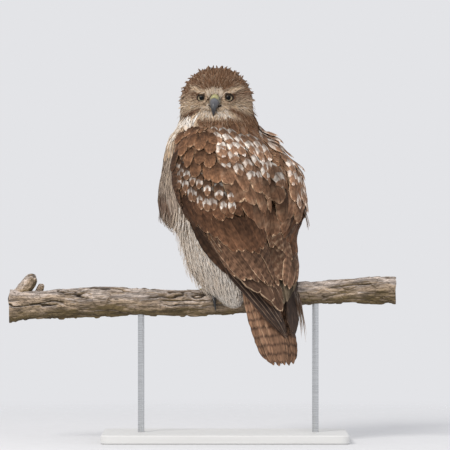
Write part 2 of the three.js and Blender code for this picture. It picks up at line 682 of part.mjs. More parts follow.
// Legs: thigh, shank, foot and four claws to a side.
const legs = {
  left: { side: -1, x: FOOT_LEFT_X, lean: { x: -8, y: -6 }, rows: LEFT_THIGH },
  right: { side: 1, x: FOOT_RIGHT_X, lean: { x: 4, y: 2 }, rows: RIGHT_THIGH },
};
const legRooms = [];
const thighRooms = [];
for (const leg of Object.values(legs)) {
  legRooms.push(foot(leg, GAP), shank(leg, GAP));
  legRooms.push(...TOES.map((toe) => claw(leg, toe, GAP)));
  thighRooms.push(thigh(leg.rows, GAP));
}
addSolid("trunk", cut(flesh.intersect(halfSpace(NECK_CUT, 0, false)), ...legRooms), FINISH.breast);
for (const [name, leg] of Object.entries(legs)) {
  for (const toe of TOES) {
    addSolid(`claw_${name}_${toe.name}`, cut(claw(leg, toe, 0), perchRoom), FINISH.claw);
  }
  const clawRooms = TOES.map((toe) => claw(leg, toe, GAP));
  const shankRoom = shank(leg, GAP);
  addSolid(`foot_${name}`, cut(foot(leg, 0), perchRoom, shankRoom, ...clawRooms), FINISH.scale);
  addSolid(`shank_${name}`, cut(shank(leg, 0), perchRoom), FINISH.scale);
  const others = name === "right" ? [thighRooms[0]] : [];
  const upper = cut(thigh(leg.rows, 0), fleshRoom, perchRoom, ...legRooms, ...others);
  addSolid(`thigh_${name}`, upper, FINISH.thigh);
}

// Tail, wings and wing tips, each cut to lie against what it covers.
addSolid("tail", cut(tailFan(0), fleshRoom, perchRoom, ...thighRooms), FINISH.tail);
const tailRoom = tailFan(GAP);
const under = [fleshRoom, perchRoom, tailRoom, ...thighRooms];
const leftWingRoom = wingPad(-1, GAP);
const rightWingRoom = wingPad(1, GAP);
addSolid("wing_left", cut(wingPad(-1, 0), ...under), FINISH.wing);
addSolid("wing_right", cut(wingPad(1, 0), ...under, leftWingRoom), FINISH.wing);
const tipUnder = [...under, leftWingRoom, rightWingRoom];
addSolid("wing_tip_left", cut(wingTip(LEFT_TIP, 0), ...tipUnder), FINISH.primaries);
const rightTip = cut(wingTip(RIGHT_TIP, 0), ...tipUnder, wingTip(LEFT_TIP, GAP));
addSolid("wing_tip_right", rightTip, FINISH.primaries);

export default group;
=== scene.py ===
"""A young red-tailed hawk on a cut length of dead branch, as a life-size museum model.

Every length is in millimetres until a mesh is handed to Blender, which works in metres.
The row's frame has +Z up, the branch along X and the camera on the -Y side. The body has a
frame of its own over the perch with the breast to +Y and the left side to -X, and so has the
head, with the bill to +Y. A place on the body is an angle round it, from the spine (0) over
the left side (90) to the breast (180), and a height.
"""

from __future__ import annotations

import itertools
import logging
import math
from collections.abc import Callable, Sequence
from dataclasses import dataclass, field, fields
from enum import Enum
from functools import cache

import bpy
import numpy as np
from mathutils import Matrix, Vector
from mathutils.bvhtree import BVHTree


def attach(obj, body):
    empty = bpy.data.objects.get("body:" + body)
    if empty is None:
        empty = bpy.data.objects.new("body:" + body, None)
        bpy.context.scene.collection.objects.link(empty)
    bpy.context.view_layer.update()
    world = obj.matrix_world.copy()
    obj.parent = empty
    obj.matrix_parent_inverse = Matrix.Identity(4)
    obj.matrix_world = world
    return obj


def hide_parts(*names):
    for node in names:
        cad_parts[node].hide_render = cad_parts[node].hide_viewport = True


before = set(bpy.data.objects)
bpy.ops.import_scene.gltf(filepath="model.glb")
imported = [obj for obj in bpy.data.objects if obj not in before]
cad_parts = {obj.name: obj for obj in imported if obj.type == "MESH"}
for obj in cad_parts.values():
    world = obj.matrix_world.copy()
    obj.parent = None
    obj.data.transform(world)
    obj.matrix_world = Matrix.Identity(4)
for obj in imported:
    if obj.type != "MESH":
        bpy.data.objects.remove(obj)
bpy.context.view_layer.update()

Array = np.ndarray
Colour = tuple[float, float, float]
Span = tuple[float, float]
Rows = tuple[tuple[float, ...], ...]
Material = bpy.types.Material
Socket = bpy.types.NodeSocket
Tree = bpy.types.NodeTree
LOG = logging.getLogger("hawk")

MM = 0.001
NO_TRIS = np.empty((0, 3), int)

# The picture: millimetres of the hawk's plane to a pixel, its side, and the floor's row in it.
PIXEL = 1.55
PICTURE_SIDE = 450
FLOOR_ROW = 441
CAMERA_REACH = 6000.0
SENSOR = 36.0

# How the body leans: its axis lies this far forward at a height, and falls back below it.
AXIS_TOP = 500.0
AXIS_FORWARD = 31.0
AXIS_SLOPE = 0.3645

# Where the neck ends, the eyes' place and size, and the middle of their lids.
HEAD_FLOOR = 507.0
EYE_SPREAD = 20.8
EYE_DEPTH = 31.5
EYE_RADIUS = 9.8
EYE_OPENING = (21.2, 0.7)
# How far small feathers keep from the eyes and the bill, in front of a place along the head.
EYE_MIDDLE = (21.4, 1.2)
EYE_CLEAR = 6.9
EYE_FRONT = 22
BILL_BASE = (0.0, 37.0, -6.0)
BILL_CLEAR = 8.8
BILL_FRONT = 33

# Where the right shoulder and wing lie closer: height, angle, depth, and how far it reaches
# up and down and round.
HOLLOWS = ((452, -44, 13, 22, 24), (392, -46, 5, 22, 20), (308, -48, 4, 24, 20))
# Heights up the back, and the angle at which the two folded wings meet there.
WING_GAP = ((300, -52), (312, -45), (335, -29), (350, -16), (373, -7), (404, -4))
# How many degrees past the spine the right wing starts, and how close to the CAD's wings a
# place still counts as on them.
RIGHT_SHIFT = 28.0
WING_REACH = 3.0
# The perch: places along it, and its middle's height and its radius there.
PERCH_ROWS = (
    (-350, 209, 25.5), (-320, 211, 23), (-270, 214, 20.5), (-200, 216.5, 22.5), (-120, 215, 21),
    (-40, 214, 18.5), (20, 217.5, 20), (80, 224, 19.5), (150, 230, 17.5), (200, 235, 18),
    (240, 235.5, 20.5), (280, 235, 20),
)

# Albedos.
UMBER: Colour = (0.150, 0.078, 0.044)
SEPIA: Colour = (0.068, 0.034, 0.020)
BLACKISH: Colour = (0.026, 0.016, 0.012)
RUFOUS: Colour = (0.330, 0.180, 0.095)
BUFF: Colour = (0.560, 0.400, 0.260)
CREAM: Colour = (0.680, 0.540, 0.380)
WHITE: Colour = (0.780, 0.720, 0.650)
GREY_BUFF: Colour = (0.330, 0.235, 0.170)


def rigid(place: Sequence[float], turns: Sequence[tuple[str, float]]) -> Matrix:
    """A place and then turns about the frame's own axes.

    Args:
        place: Where the frame's origin lies.
        turns: Pairs of an axis name and degrees, in order.

    Returns:
        The 4 by 4 matrix.
    """
    matrix = Matrix.Translation(place)
    for axis, degrees in turns:
        matrix = matrix @ Matrix.Rotation(math.radians(degrees), 4, axis)
    return matrix


@dataclass(frozen=True)
class Pose:
    """A rigid frame inside the row's frame."""

    matrix: Matrix

    @property
    def turned(self) -> Array:
        """Its rotation."""
        return np.array(self.matrix)[:3, :3]

    @property
    def placed(self) -> Array:
        """Its origin."""
        return np.array(self.matrix)[:3, 3]

    def out(self, points: Array) -> Array:
        """Points of this frame in the row's frame."""
        return np.asarray(points, float) @ self.turned.T + self.placed

    def into(self, points: Array) -> Array:
        """Points of the row's frame in this frame."""
        return (np.asarray(points, float) - self.placed) @ self.turned

    def turn(self, ways: Array) -> Array:
        """Directions of this frame in the row's frame."""
        return np.asarray(ways, float) @ self.turned.T


BODY = Pose(rigid((5, -12, 0), (("Z", 50),)))
HEAD = Pose(BODY.matrix @ rigid((4.7, 24.1, 530.2), (("Z", 123), ("X", 0.5))))


def unit(vectors: Array) -> Array:
    """Vectors at length one."""
    return vectors / np.maximum(np.linalg.norm(vectors, axis=-1, keepdims=True), 1e-9)


def flatten_to(ways: Array, normals: Array) -> Array:
    """The part of each way that lies along the surface, at length one."""
    return unit(ways - normals * (ways * normals).sum(-1, keepdims=True))


def smooth(low: float, high: float, value: Array) -> Array:
    """0 below low, 1 above high, and an even S between."""
    share = np.clip((value - low) / (high - low), 0, 1)
    return share * share * (3 - 2 * share)


def bell(value: Array, centre: float | Array, width: float) -> Array:
    """1 at the centre, falling to about a third a width away."""
    return np.exp(-(((value - centre) / width) ** 2))


def circle(count: int) -> Array:
    """Angles evenly round a circle."""
    return np.linspace(0, 2 * math.pi, count, endpoint=False)


def along_rows(rows: Array | Rows, at: Array) -> Array:
    """Places between the rows of a table, evenly from the first row (0) to the last (1).

    Args:
        rows: The table, one row to a place.
        at: Shares of the way through it.

    Returns:
        One row for each share.
    """
    table = np.asarray(rows, float)
    knots = np.linspace(0, 1, len(table))
    columns = [np.interp(np.ravel(at), knots, column) for column in table.T]
    return np.stack(columns, -1).reshape(*np.shape(at), table.shape[1])


def smooth_rows(rows: Rows, at: Array) -> Array:
    """As along_rows, on a curve that rounds the corners off.

    Args:
        rows: The table, one row to a place.
        at: Shares of the way through it.

    Returns:
        One row for each share.
    """
    fine_count, blur = 97, 15
    fine = along_rows(rows, np.linspace(0, 1, fine_count))
    kernel = np.hanning(blur)[1:-1]
    kernel /= kernel.sum()
    pad = len(kernel) // 2
    first = 2 * fine[:1] - fine[1 : pad + 1][::-1]
    last = 2 * fine[-1:] - fine[-pad - 1 : -1][::-1]
    padded = np.concatenate([first, fine, last])
    soft = np.stack([np.convolve(column, kernel, "valid") for column in padded.T], -1)
    return along_rows(soft, at)


def lumps(points: Array, seed: int) -> Array:
    """Smooth noise.

    Args:
        points: Places, three numbers each; the noise changes over about one unit.
        seed: Which of many noises.

    Returns:
        Numbers from -1 to 1.
    """
    cell = np.floor(points).astype(np.int64)
    part = points - cell
    ease = part * part * (3 - 2 * part)
    primes = np.array([73856093, 19349663, 83492791], np.int64)
    total = np.zeros(points.shape[:-1])
    for corner in itertools.product((0, 1), repeat=3):
        key = ((cell + corner) * primes).sum(-1) + seed * 7919
        key = ((key ^ (key >> 13)) * 1274126177) & 0x7FFFFFFF
        value = ((key ^ (key >> 16)) & 0xFFFF) / 0x8000 - 1
        total += np.prod(np.where(corner, ease, 1 - ease), -1) * value
    return total


@dataclass
class Patch:
    """A mesh in the making: points in millimetres, faces, and values at the points."""

    points: Array
    quads: Array
    tris: Array
    values: dict[str, Array] = field(default_factory=dict)
    uv: Array | None = None

    @staticmethod
    def tubes(
        grid: Array, values: dict[str, object] | None = None, uv: Array | None = None
    ) -> Patch:
        """Closed tubes, with a fan of triangles over each end.

        Args:
            grid: Points, laid out (count, stations, around, 3).
            values: Numbers or colours that can be spread over the grid.
            uv: Map places laid out as the grid is.

        Returns:
            The patch.
        """
        count, stations, around = grid.shape[:3]
        ring = np.arange(stations - 1)[:, None] * around
        here = np.arange(around)[None]
        there = (here + 1) % around
        corners = [ring + here, ring + there, ring + around + there, ring + around + here]
        quads = np.stack(corners, -1).reshape(-1, 4)
        fan = np.arange(1, around - 1)
        start = np.stack([0 * fan, fan + 1, fan], -1)
        end = (stations - 1) * around + np.stack([0 * fan, fan, fan + 1], -1)
        tube = (np.arange(count) * stations * around)[:, None, None]
        tris = (np.concatenate([start, end]) + tube).reshape(-1, 3)
        flat = {}
        for name, value in (values or {}).items():
            width = np.shape(value)[3:]
            flat[name] = np.broadcast_to(value, (*grid.shape[:3], *width)).reshape(-1, *width)
        spots = None if uv is None else uv.reshape(-1, 2)
        patch = Patch(grid.reshape(-1, 3), (quads + tube).reshape(-1, 4), tris, flat, spots)
        patch.face_out()
        return patch

    @staticmethod
    def joined(patches: Sequence[Patch]) -> Patch:
        """Several patches as one.

        Args:
            patches: The patches; all hold the same values.

        Returns:
            The patch.
        """
        starts = np.cumsum([0] + [len(p.points) for p in patches])
        return Patch(
            np.concatenate([p.points for p in patches]),
            np.concatenate([p.quads + s for p, s in zip(patches, starts)]),
            np.concatenate([p.tris + s for p, s in zip(patches, starts)]),
            {n: np.concatenate([p.values[n] for p in patches]) for n in patches[0].values},
            None if patches[0].uv is None else np.concatenate([p.uv for p in patches]),
        )

    def face_out(self) -> None:
        """Turns every face over if the patch is inside out."""
        a, b, c, d = (self.points[self.quads[:, n]] for n in range(4))
        if (a * (np.cross(b, c) + np.cross(c, d))).sum() < 0:
            self.quads = self.quads[:, ::-1]
            self.tris = self.tris[:, ::-1]

    def build(self, name: str, finish: Material) -> bpy.types.Object:
        """Makes the Blender object.

        Args:
            name: The piece's name.
            finish: Its material.

        Returns:
            The object, linked to the scene.
        """
        mesh = bpy.data.meshes.new(name)
        mesh.vertices.add(len(self.points))
        mesh.vertices.foreach_set("co", (self.points * MM).astype(np.float32).ravel())
        corners = np.concatenate([self.quads.ravel(), self.tris.ravel()])
        mesh.loops.add(len(corners))
        mesh.loops.foreach_set("vertex_index", corners.astype(np.int32))
        sizes = np.concatenate([np.full(len(self.quads), 4), np.full(len(self.tris), 3)])
        mesh.polygons.add(len(sizes))
        mesh.polygons.foreach_set("loop_start", (np.cumsum(sizes) - sizes).astype(np.int32))
        mesh.polygons.foreach_set("use_smooth", np.ones(len(sizes), bool))
        for label, value in self.values.items():
            wide = value.ndim > 1
            layer = mesh.attributes.new(label, "FLOAT_COLOR" if wide else "FLOAT", "POINT")
            if wide:
                value = np.concatenate([value, np.ones((len(value), 1))], 1)
            layer.data.foreach_set("color" if wide else "value", value.astype(np.float32).ravel())
        if self.uv is not None:
            layer = mesh.uv_layers.new(name="OFBake")
            layer.uv.foreach_set("vector", self.uv[corners].astype(np.float32).ravel())
        mesh.materials.append(finish)
        mesh.update(calc_edges=True)
        mesh.validate()
        made = bpy.data.objects.new(name, mesh)
        bpy.context.scene.collection.objects.link(made)
        return made


class Slot(Enum):
    """Names of material slots."""

    CROWN = "crown"
    BREAST = "breast"
    WING = "wing"
    PRIMARIES = "primaries"
    TAIL = "tail"
    THIGH = "thigh"
    SCALE = "scale"
    CLAW = "claw"
    BILL = "bill"
    CERE = "cere"
    IRIS = "iris"
    BARK = "bark"


def add_piece(patch: Patch, name: str, finish: Material, slot: Slot, *nodes: str) -> None:
    """Makes a piece of the hawk or its perch and fixes it to the frame.

    Args:
        patch: Its mesh.
        name: Its name.
        finish: Its material.
        slot: Not used.
        nodes: The CAD nodes it stands for.
    """
    made = patch.build(name, finish)
    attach(made, "root")
    if nodes:
        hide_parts(*nodes)
    LOG.info("%s: %d triangles", name, 2 * len(patch.quads) + len(patch.tris))


class Shell:
    """The outer surface of some CAD nodes, closed up and relaxed, to lay feathers on.

    MISSED and OUTSIDE are how far from the body's axis a place lies whose ray misses, and how
    far out the rays start. TRIES is how many places are tried for each that is taken.
    """

    MISSED = 30
    OUTSIDE = 300
    TRIES = 7

    def __init__(self, names: Sequence[str], voxel: float, relax: int) -> None:
        """Joins the nodes.

        Args:
            names: The CAD nodes.
            voxel: The size of its faces.
            relax: How many times it is smoothed.
        """
        meshes = [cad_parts[name].data for name in names]
        starts = np.cumsum([0] + [len(m.vertices) for m in meshes])
        points = [tuple(v.co) for m in meshes for v in m.vertices]
        faces = [[v + s for v in p.vertices] for m, s in zip(meshes, starts) for p in m.polygons]
        mesh = bpy.data.meshes.new("shell")
        mesh.from_pydata(points, [], faces)
        holder = bpy.data.objects.new("shell", mesh)
        bpy.context.scene.collection.objects.link(holder)
        remesh = holder.modifiers.new("remesh", "REMESH")
        remesh.mode = "VOXEL"
        remesh.voxel_size = voxel * MM
        settle = holder.modifiers.new("relax", "SMOOTH")
        settle.factor = 0.5
        settle.iterations = relax
        made = holder.evaluated_get(bpy.context.evaluated_depsgraph_get()).to_mesh()
        self.points = self._read(made.vertices, "co") / MM
        self.normals = self._read(made.vertices, "normal")
        self.faces = np.array([tuple(p.vertices) for p in made.polygons])
        bpy.data.objects.remove(holder)
        bpy.data.meshes.remove(mesh)
        spot = Where.of(self.points)
        for height, angle, deep, tall, wide in HOLLOWS:
            share = bell(spot.height, height, tall) * bell(spot.angle, angle, wide)
            self.points -= self.normals * (deep * share)[:, None]
        self.face_normals = unit(self.normals[self.faces].mean(1))
        self.tree = BVHTree.FromPolygons(self.points.tolist(), self.faces.tolist())

    @staticmethod
    def _read(items: bpy.types.bpy_prop_collection, name: str) -> Array:
        """A property of three numbers of every item.

        Args:
            items: The vertices.
            name: The property.

        Returns:
            One row of doubles to an item.
        """
        values = np.empty(len(items) * 3, np.float32)
        items.foreach_get(name, values)
        return values.reshape(-1, 3).astype(float)

    def nearest(self, points: Array) -> tuple[Array, Array]:
        """The nearest places on the surface.

        Args:
            points: Points in the row's frame.

        Returns:
            The places, and the surface's outward normals there.
        """
        flat = np.reshape(points, (-1, 3))
        found = np.empty_like(flat)
        which = np.empty(len(flat), np.int64)
        for n, point in enumerate(flat.tolist()):
            found[n], _, which[n], _ = self.tree.find_nearest(point)
        return found.reshape(np.shape(points)), self.face_normals[which].reshape(np.shape(points))

    def on_body(self, angle: Array, height: Array) -> Array:
        """Where a level ray towards the body's axis meets the surface.

        Args:
            angle: Degrees round the body from the spine, left side positive.
            height: Heights.

        Returns:
            Points in the row's frame.
        """
        turn = np.radians(angle)
        axis_y = AXIS_FORWARD - AXIS_SLOPE * (AXIS_TOP - height)
        centre = BODY.out(np.stack([0 * height, axis_y, height], -1))
        out = BODY.turn(np.stack([-np.sin(turn), -np.cos(turn), 0 * height], -1))
        found = centre + out * self.MISSED
        start = centre + out * self.OUTSIDE
        for place in np.ndindex(*np.shape(height)):
            hit = self.tree.ray_cast(start[place].tolist(), (-out[place]).tolist())[0]
            if hit is not None:
                found[place] = hit
        return found

    def scatter(
        self, keep: Callable[[Array], Array], gap: Callable[[Array], Array], seed: int
    ) -> Array:
        """Places on the surface, no two closer than the gap there.

        Args:
            keep: Which of many points may be used.
            gap: The least distance at each of many points.
            seed: The seed of the chance.

        Returns:
            The places.
        """
        rng = np.random.default_rng(seed)
        corner = self.points[self.faces]
        edge_a, edge_b = corner[:, 1] - corner[:, 0], corner[:, 3] - corner[:, 0]
        area = np.linalg.norm(np.cross(edge_a, edge_b), axis=-1)
        middle = corner.mean(1)
        weight = area * keep(middle) / gap(middle) ** 2
        tries = int(weight.sum() * self.TRIES)
        chosen = rng.choice(len(area), tries, p=weight / weight.sum())
        u, v = rng.random((2, tries, 1))
        spots = corner[chosen, 0] + u * edge_a[chosen] + v * edge_b[chosen]
        spots = spots[keep(spots)]
        gaps = gap(spots)
        keys = np.floor(spots / float(gaps.max())).astype(int)
        taken: dict[tuple[int, ...], list[list[float]]] = {}
        around = list(itertools.product((-1, 0, 1), repeat=3))
        found = []
        for spot, key, least in zip(spots.tolist(), keys.tolist(), (gaps**2).tolist()):
            x, y, z = spot
            cells = (taken.get((key[0] + i, key[1] + j, key[2] + k), ()) for i, j, k in around)
            near = itertools.chain.from_iterable(cells)
            if all((x - a) ** 2 + (y - b) ** 2 + (z - c) ** 2 >= least for a, b, c in near):
                taken.setdefault(tuple(key), []).append(spot)
                found.append(spot)
        return np.array(found)


@dataclass(frozen=True)
class Where:
    """Where points of the row's frame lie on the hawk.

    angle and height are places on the body, and head is the place in the head's frame. ring
    and roll say how far a point lies from the bill's line, and at what angle from straight up.
    """

    angle: Array
    height: Array
    head: Array
    ring: Array
    roll: Array

    @staticmethod
    def of(points: Array) -> Where:
        """Reads the places of many points.

        Args:
            points: Points in the row's frame.

        Returns:
            Their places.
        """
        body = BODY.into(points)
        axis_y = AXIS_FORWARD - AXIS_SLOPE * (AXIS_TOP - body[..., 2])
        angle = np.degrees(np.arctan2(-body[..., 0], axis_y - body[..., 1]))
        head = HEAD.into(points)
        above = head[..., 2] + 4
        roll = np.degrees(np.arctan2(np.abs(head[..., 0]), above))
        return Where(angle, body[..., 2], head, np.hypot(head[..., 0], above), roll)


class Plumage:
    """The markings and painted shade of skin and small feathers, by place on the hawk."""

    @staticmethod
    def on_head(spot: Where) -> Array:
        """How pale the head is: brown crown and malar patch, buff brow, cheeks and throat.

        Args:
            spot: The places.

        Returns:
            Numbers from -0.5, blackish, to 1, white.
        """
        x, y, z = np.moveaxis(spot.head, -1, 0)
        ring, roll = spot.ring, spot.roll
        front = smooth(-16, 8, y)
        brow = 0.46 * bell(roll, 50 + 13 * (ring - 20) / 27, 8)
        brow = brow * smooth(15, 20, ring) * smooth(50, 42, ring)
        cheek = 0.62 * bell(roll, 102, 20) * smooth(12, 22, ring)
        throat = 0.76 * smooth(118, 134, roll) * (1 - 0.4 * smooth(36, 46, ring))
        malar = 0.4 * bell(roll, 120, 6) * smooth(26, 36, ring)
        lore = 0.62 * (1 - smooth(13, 21, ring)) * smooth(24, 50, roll)
        # Blackish round each eye: partly its dark feathers, partly painted shadow of the brow over
        # the socket.
        eye = np.hypot(np.abs(x) - EYE_OPENING[0], z - EYE_OPENING[1])
        pale = 0.03 + brow + cheek + throat - malar + lore
        pale = np.minimum(pale, 0.8) * smooth(6, 11, eye) - 0.45 * bell(eye, 5.5, 4.0)
        return np.clip(pale * front + 0.06 * (1 - front), -0.5, 1)

    @staticmethod
    def on_body(spot: Where) -> Array:
        """How pale the body is: brown above, whitish below with a streaked belly band.

        Args:
            spot: The places.

        Returns:
            Numbers from 0, brown, to 1, white.
        """
        side, height = np.abs(spot.angle), spot.height
        under = smooth(100, 116, side)
        neck = smooth(470, 484, height) * smooth(70, 84, side)
        rump = smooth(330, 290, height) * 0.5 * under
        pale = np.maximum(np.maximum(under * 0.88, neck), rump)
        # Painted shade on the breast beside the folded wing, between heights 330 and 470.
        shade = smooth(330, 350, height) * smooth(470, 430, height)
        shade = shade * smooth(104, 114, side) * (1 - 0.6 * smooth(134, 158, side))
        outer = smooth(132, 160, side) * smooth(350, 320, height) * smooth(232, 275, height)
        band = bell(height, 352, 30) * smooth(120, 140, side)
        return np.clip(pale - 0.36 * shade - 0.5 * band - 0.2 * outer, 0, 1)

    @classmethod
    def pale(cls, points: Array) -> Array:
        """How pale the plumage is.

        Args:
            points: Points in the row's frame.

        Returns:
            Numbers from -0.5, blackish, to 1, white.
        """
        spot = Where.of(points)
        floor = HEAD_FLOOR - 12 * smooth(0, 18, spot.head[..., 1])
        on_head = smooth(-5, 5, spot.height - floor)
        return cls.on_head(spot) * on_head + cls.on_body(spot) * (1 - on_head)

    @staticmethod
    def paint(pale: Array) -> tuple[Array, Array]:
        """Colours of small feathers.

        Args:
            pale: How pale each is.

        Returns:
            The colours of each feather's middle and of its rim.
        """
        steps = (-0.5, 0.0, 0.35, 0.65, 1.0)
        grounds = (BLACKISH, UMBER, GREY_BUFF, BUFF, WHITE)
        rims = (SEPIA, RUFOUS, BUFF, CREAM, WHITE)
        ground, rim = (
            np.stack([np.interp(pale, steps, column) for column in zip(*colours)], -1)
            for colours in (grounds, rims)
        )
        return ground, rim


@dataclass(frozen=True)
class Cut:
    """The outline and section of one kind of feather.

    full_at is the share of the length by which the vane is full wide, blunt says how late it
    narrows to the tip, and point is 0.5 for a round tip and 1 for a sharp one. fray is how
    uneven its edges are and tear how far its end is torn, in shares of the half width.
    """

    stations: int = 7
    across: int = 3
    full_at: float = 0.35
    blunt: float = 3.0
    point: float = 0.6
    thick: float = 0.5
    fray: float = 0.06
    tear: float = 0.0
    arch: float = 0.12

    def ways(self) -> Array:
        """The stations from the root (0) to the tip (1), closer together at the tip."""
        return 1 - (1 - np.linspace(0, 1, self.stations)) ** 1.5

    def widths(self) -> Array:
        """The half width at each station.

        Returns:
            Shares of the widest.
        """
        way = self.ways()
        rise = np.sin(0.5 * np.pi * np.clip(way / self.full_at, 0, 1)) ** 0.8
        fall = np.maximum(1 - way**self.blunt, 0) ** self.point
        return np.maximum(rise * fall, 0.06)


FLIGHT = Cut(24, 7, 0.2, 4.5, 0.55, 0.7, 0.05, 0.1, 0.1)
COVERT = Cut(14, 7, 0.3, 5.0, 0.5, 0.6, 0.06, 0.16, 0.24)
BROAD = Cut(14, 9, 0.35, 6.0, 0.5, 0.6, 0.05, 0.2, 0.2)
WISP = Cut(6, 3, 0.3, 1.6, 0.9, 0.4, 0.15, 0.4, 0.2)
SHAGGY = Cut(7, 3, 0.4, 2.2, 0.85, 0.5, 0.12, 0.3, 0.22)
FINE = Cut(5, 3, 0.4, 2.2, 0.8, 0.25, 0.1, 0.3, 0.12)
LOOSE = Cut(7, 5, 0.35, 2.6, 0.6, 0.25, 0.08, 0.25, 0.16)
DOWN = Cut(5, 3, 0.35, 2.0, 0.8, 0.14, 0.12, 0.5, 0.04)


@dataclass
class Plumes:
    """A batch of feathers of one cut, along spines.

    spine and normal are laid out (feather, station, 3); half is each one's half width and
    roll its turn about its own shaft in degrees. tone is each one's own chance number, mark
    how strong its bars are, shade how light it is, and place where its bars are counted.
    """

    cut: Cut
    spine: Array
    normal: Array
    half: Array
    roll: Array
    tone: Array
    skew: float = 0.0
    mark: Array | float = 1.0
    shade: Array | float = 1.0
    place: Array | None = None

    def patch(
        self,
        rng: np.random.Generator,
        spots: Array | None = None,
        colours: tuple[Array, Array] | None = None,
        cling: tuple[Shell, float, float] | None = None,
    ) -> Patch:
        """Makes the feathers' mesh.

        Args:
            rng: The chance for frayed edges.
            spots: Each feather's place on the skin's map; without it, each has its own cell.
            colours: Each feather's ground and rim colours.
            cling: A shell, how far the vane is drawn to its spine's height over it, and the
                most it is drawn, for vanes that bend round the body.

        Returns:
            The patch.
        """
        cut, count, way = self.cut, len(self.half), self.cut.ways()
        ahead = unit(np.gradient(self.spine, axis=1))
        side = unit(np.cross(ahead, self.normal))
        up = np.cross(side, ahead)
        turn = np.radians(self.roll)[:, None, None]
        side, up = (
            side * np.cos(turn) + up * np.sin(turn),
            up * np.cos(turn) - side * np.sin(turn),
        )
        across = np.linspace(-1, 1, cut.across)
        wide = self.half[:, None] * cut.widths()[None]
        fray = 1 + cut.fray * rng.normal(size=(count, cut.stations, cut.across))
        reach = wide[..., None] * across * fray * (1 + self.skew * across)
        torn = cut.tear * rng.uniform(-1, 0.4, (count, 1, cut.across)) * self.half[:, None, None]
        torn = torn * (way**6)[None, :, None]
        rise = cut.arch * wide[..., None] * (1 - across**2)
        top = self.spine[:, :, None] + side[:, :, None] * reach[..., None]
        top = top + ahead[:, :, None] * torn[..., None]
        if cling is not None:
            top = self._drawn(top, *cling)
        top = top + up[:, :, None] * rise[..., None]
        deep = cut.thick * (1 - across[1:-1] ** 2) * np.linspace(1.2, 0.5, cut.stations)[:, None]
        under = top[:, :, 1:-1] - up[:, :, None] * deep[None, ..., None]
        grid = np.concatenate([top, under[:, :, ::-1]], 2)
        places = np.concatenate([across, across[1:-1][::-1]])
        values = {
            "Along": way[:, None],
            "Across": places,
            "Tone": self.tone[:, None, None],
            "Mark": self.mark,
            "Shade": self.shade,
            "Place": (way[None] if self.place is None else self.place)[..., None],
        }
        if colours is not None:
            values["Ground"], values["Rim"] = (colour[:, None, None] for colour in colours)
        return Patch.tubes(grid, values, self._map(places, grid.shape[:3], spots))

    def _drawn(self, top: Array, shell: Shell, share: float, most: float) -> Array:
        """Draws the vanes to their shaft's height over a shell.

        Args:
            top: Points of the vanes.
            shell: The surface.
            share: The share of the way that each point is drawn.
            most: The farthest it is drawn.

        Returns:
            The points, drawn.
        """
        foot, out = shell.nearest(self.spine)
        height = ((self.spine - foot) * out).sum(-1)
        base, normal = shell.nearest(top)
        move = (base + normal * height[:, :, None, None] - top) * share
        size = np.linalg.norm(move, axis=-1, keepdims=True)
        return top + move * np.minimum(1, most / np.maximum(size, 1e-6))

    def _map(self, places: Array, shape: tuple[int, ...], spots: Array | None) -> Array:
        """The OFBake map: a small patch at each root's place, or a cell to each feather.

        Args:
            places: The points' places across a vane.
            shape: How many feathers, stations and points round a section.
            spots: The roots' places on the skin's map, if they are used.

        Returns:
            The map places.
        """
        patch_size, margin = 0.003, 0.06
        along = np.broadcast_to(self.cut.ways()[:, None], shape)
        within = np.stack([np.broadcast_to(0.5 + 0.5 * places, shape), along], -1)
        if spots is not None:
            return spots[:, None, None] + within * patch_size
        columns = math.ceil(math.sqrt(shape[0] * 3))
        rows = math.ceil(shape[0] / columns)
        cell = np.stack([np.arange(shape[0]) % columns, np.arange(shape[0]) // columns], -1)
        within = margin + (1 - 2 * margin) * within
        return (cell[:, None, None] + within) / np.array([columns, rows])


def skin_spots(points: Array) -> Array:
    """Where the skin lies on its map, an unwrap by angle and height.

    Args:
        points: Points in the row's frame.

    Returns:
        Their map places.
    """
    spot = Where.of(points)
    head = smooth(HEAD_FLOOR - 2, HEAD_FLOOR + 2, spot.height)
    centre = BODY.out(np.array([2.3, 27.0, 0.0]))
    head_turn = np.arctan2(points[..., 0] - centre[0], points[..., 1] - centre[1])
    turn = np.where(head > 0.5, np.degrees(head_turn), spot.angle)
    across = 0.01 + 0.97 * (turn + 180) / 360
    return np.stack([across, np.clip((spot.height - 190) / 400, 0, 0.99)], -1)


def walked(
    shell: Shell, roots: Array, ways: Array, lengths: Array, cut: Cut
) -> tuple[Array, Array]:
    """Lines along a shell, from roots on it.

    Args:
        shell: The surface.
        roots: Where the lines start.
        ways: The way each sets out.
        lengths: How long each is.
        cut: Whose stations they get.

    Returns:
        The lines and the surface's normals along them.
    """
    point, normal = shell.nearest(roots)
    line, normals = [point], [normal]
    way = flatten_to(ways, normal)
    for step in np.diff(cut.ways()):
        point, normal = shell.nearest(point + way * (lengths * step)[:, None])
        way = flatten_to(way, normal)
        line.append(point)
        normals.append(normal)
    out = np.stack(normals, 1)
    out = unit(out + np.roll(out, 1, 1) * 0.5 + out.mean(1, keepdims=True))
    return np.stack(line, 1), out


def titled(name: str) -> str:
    """A field's name as the socket of that name is labelled."""
    return name.replace("_", " ").title()


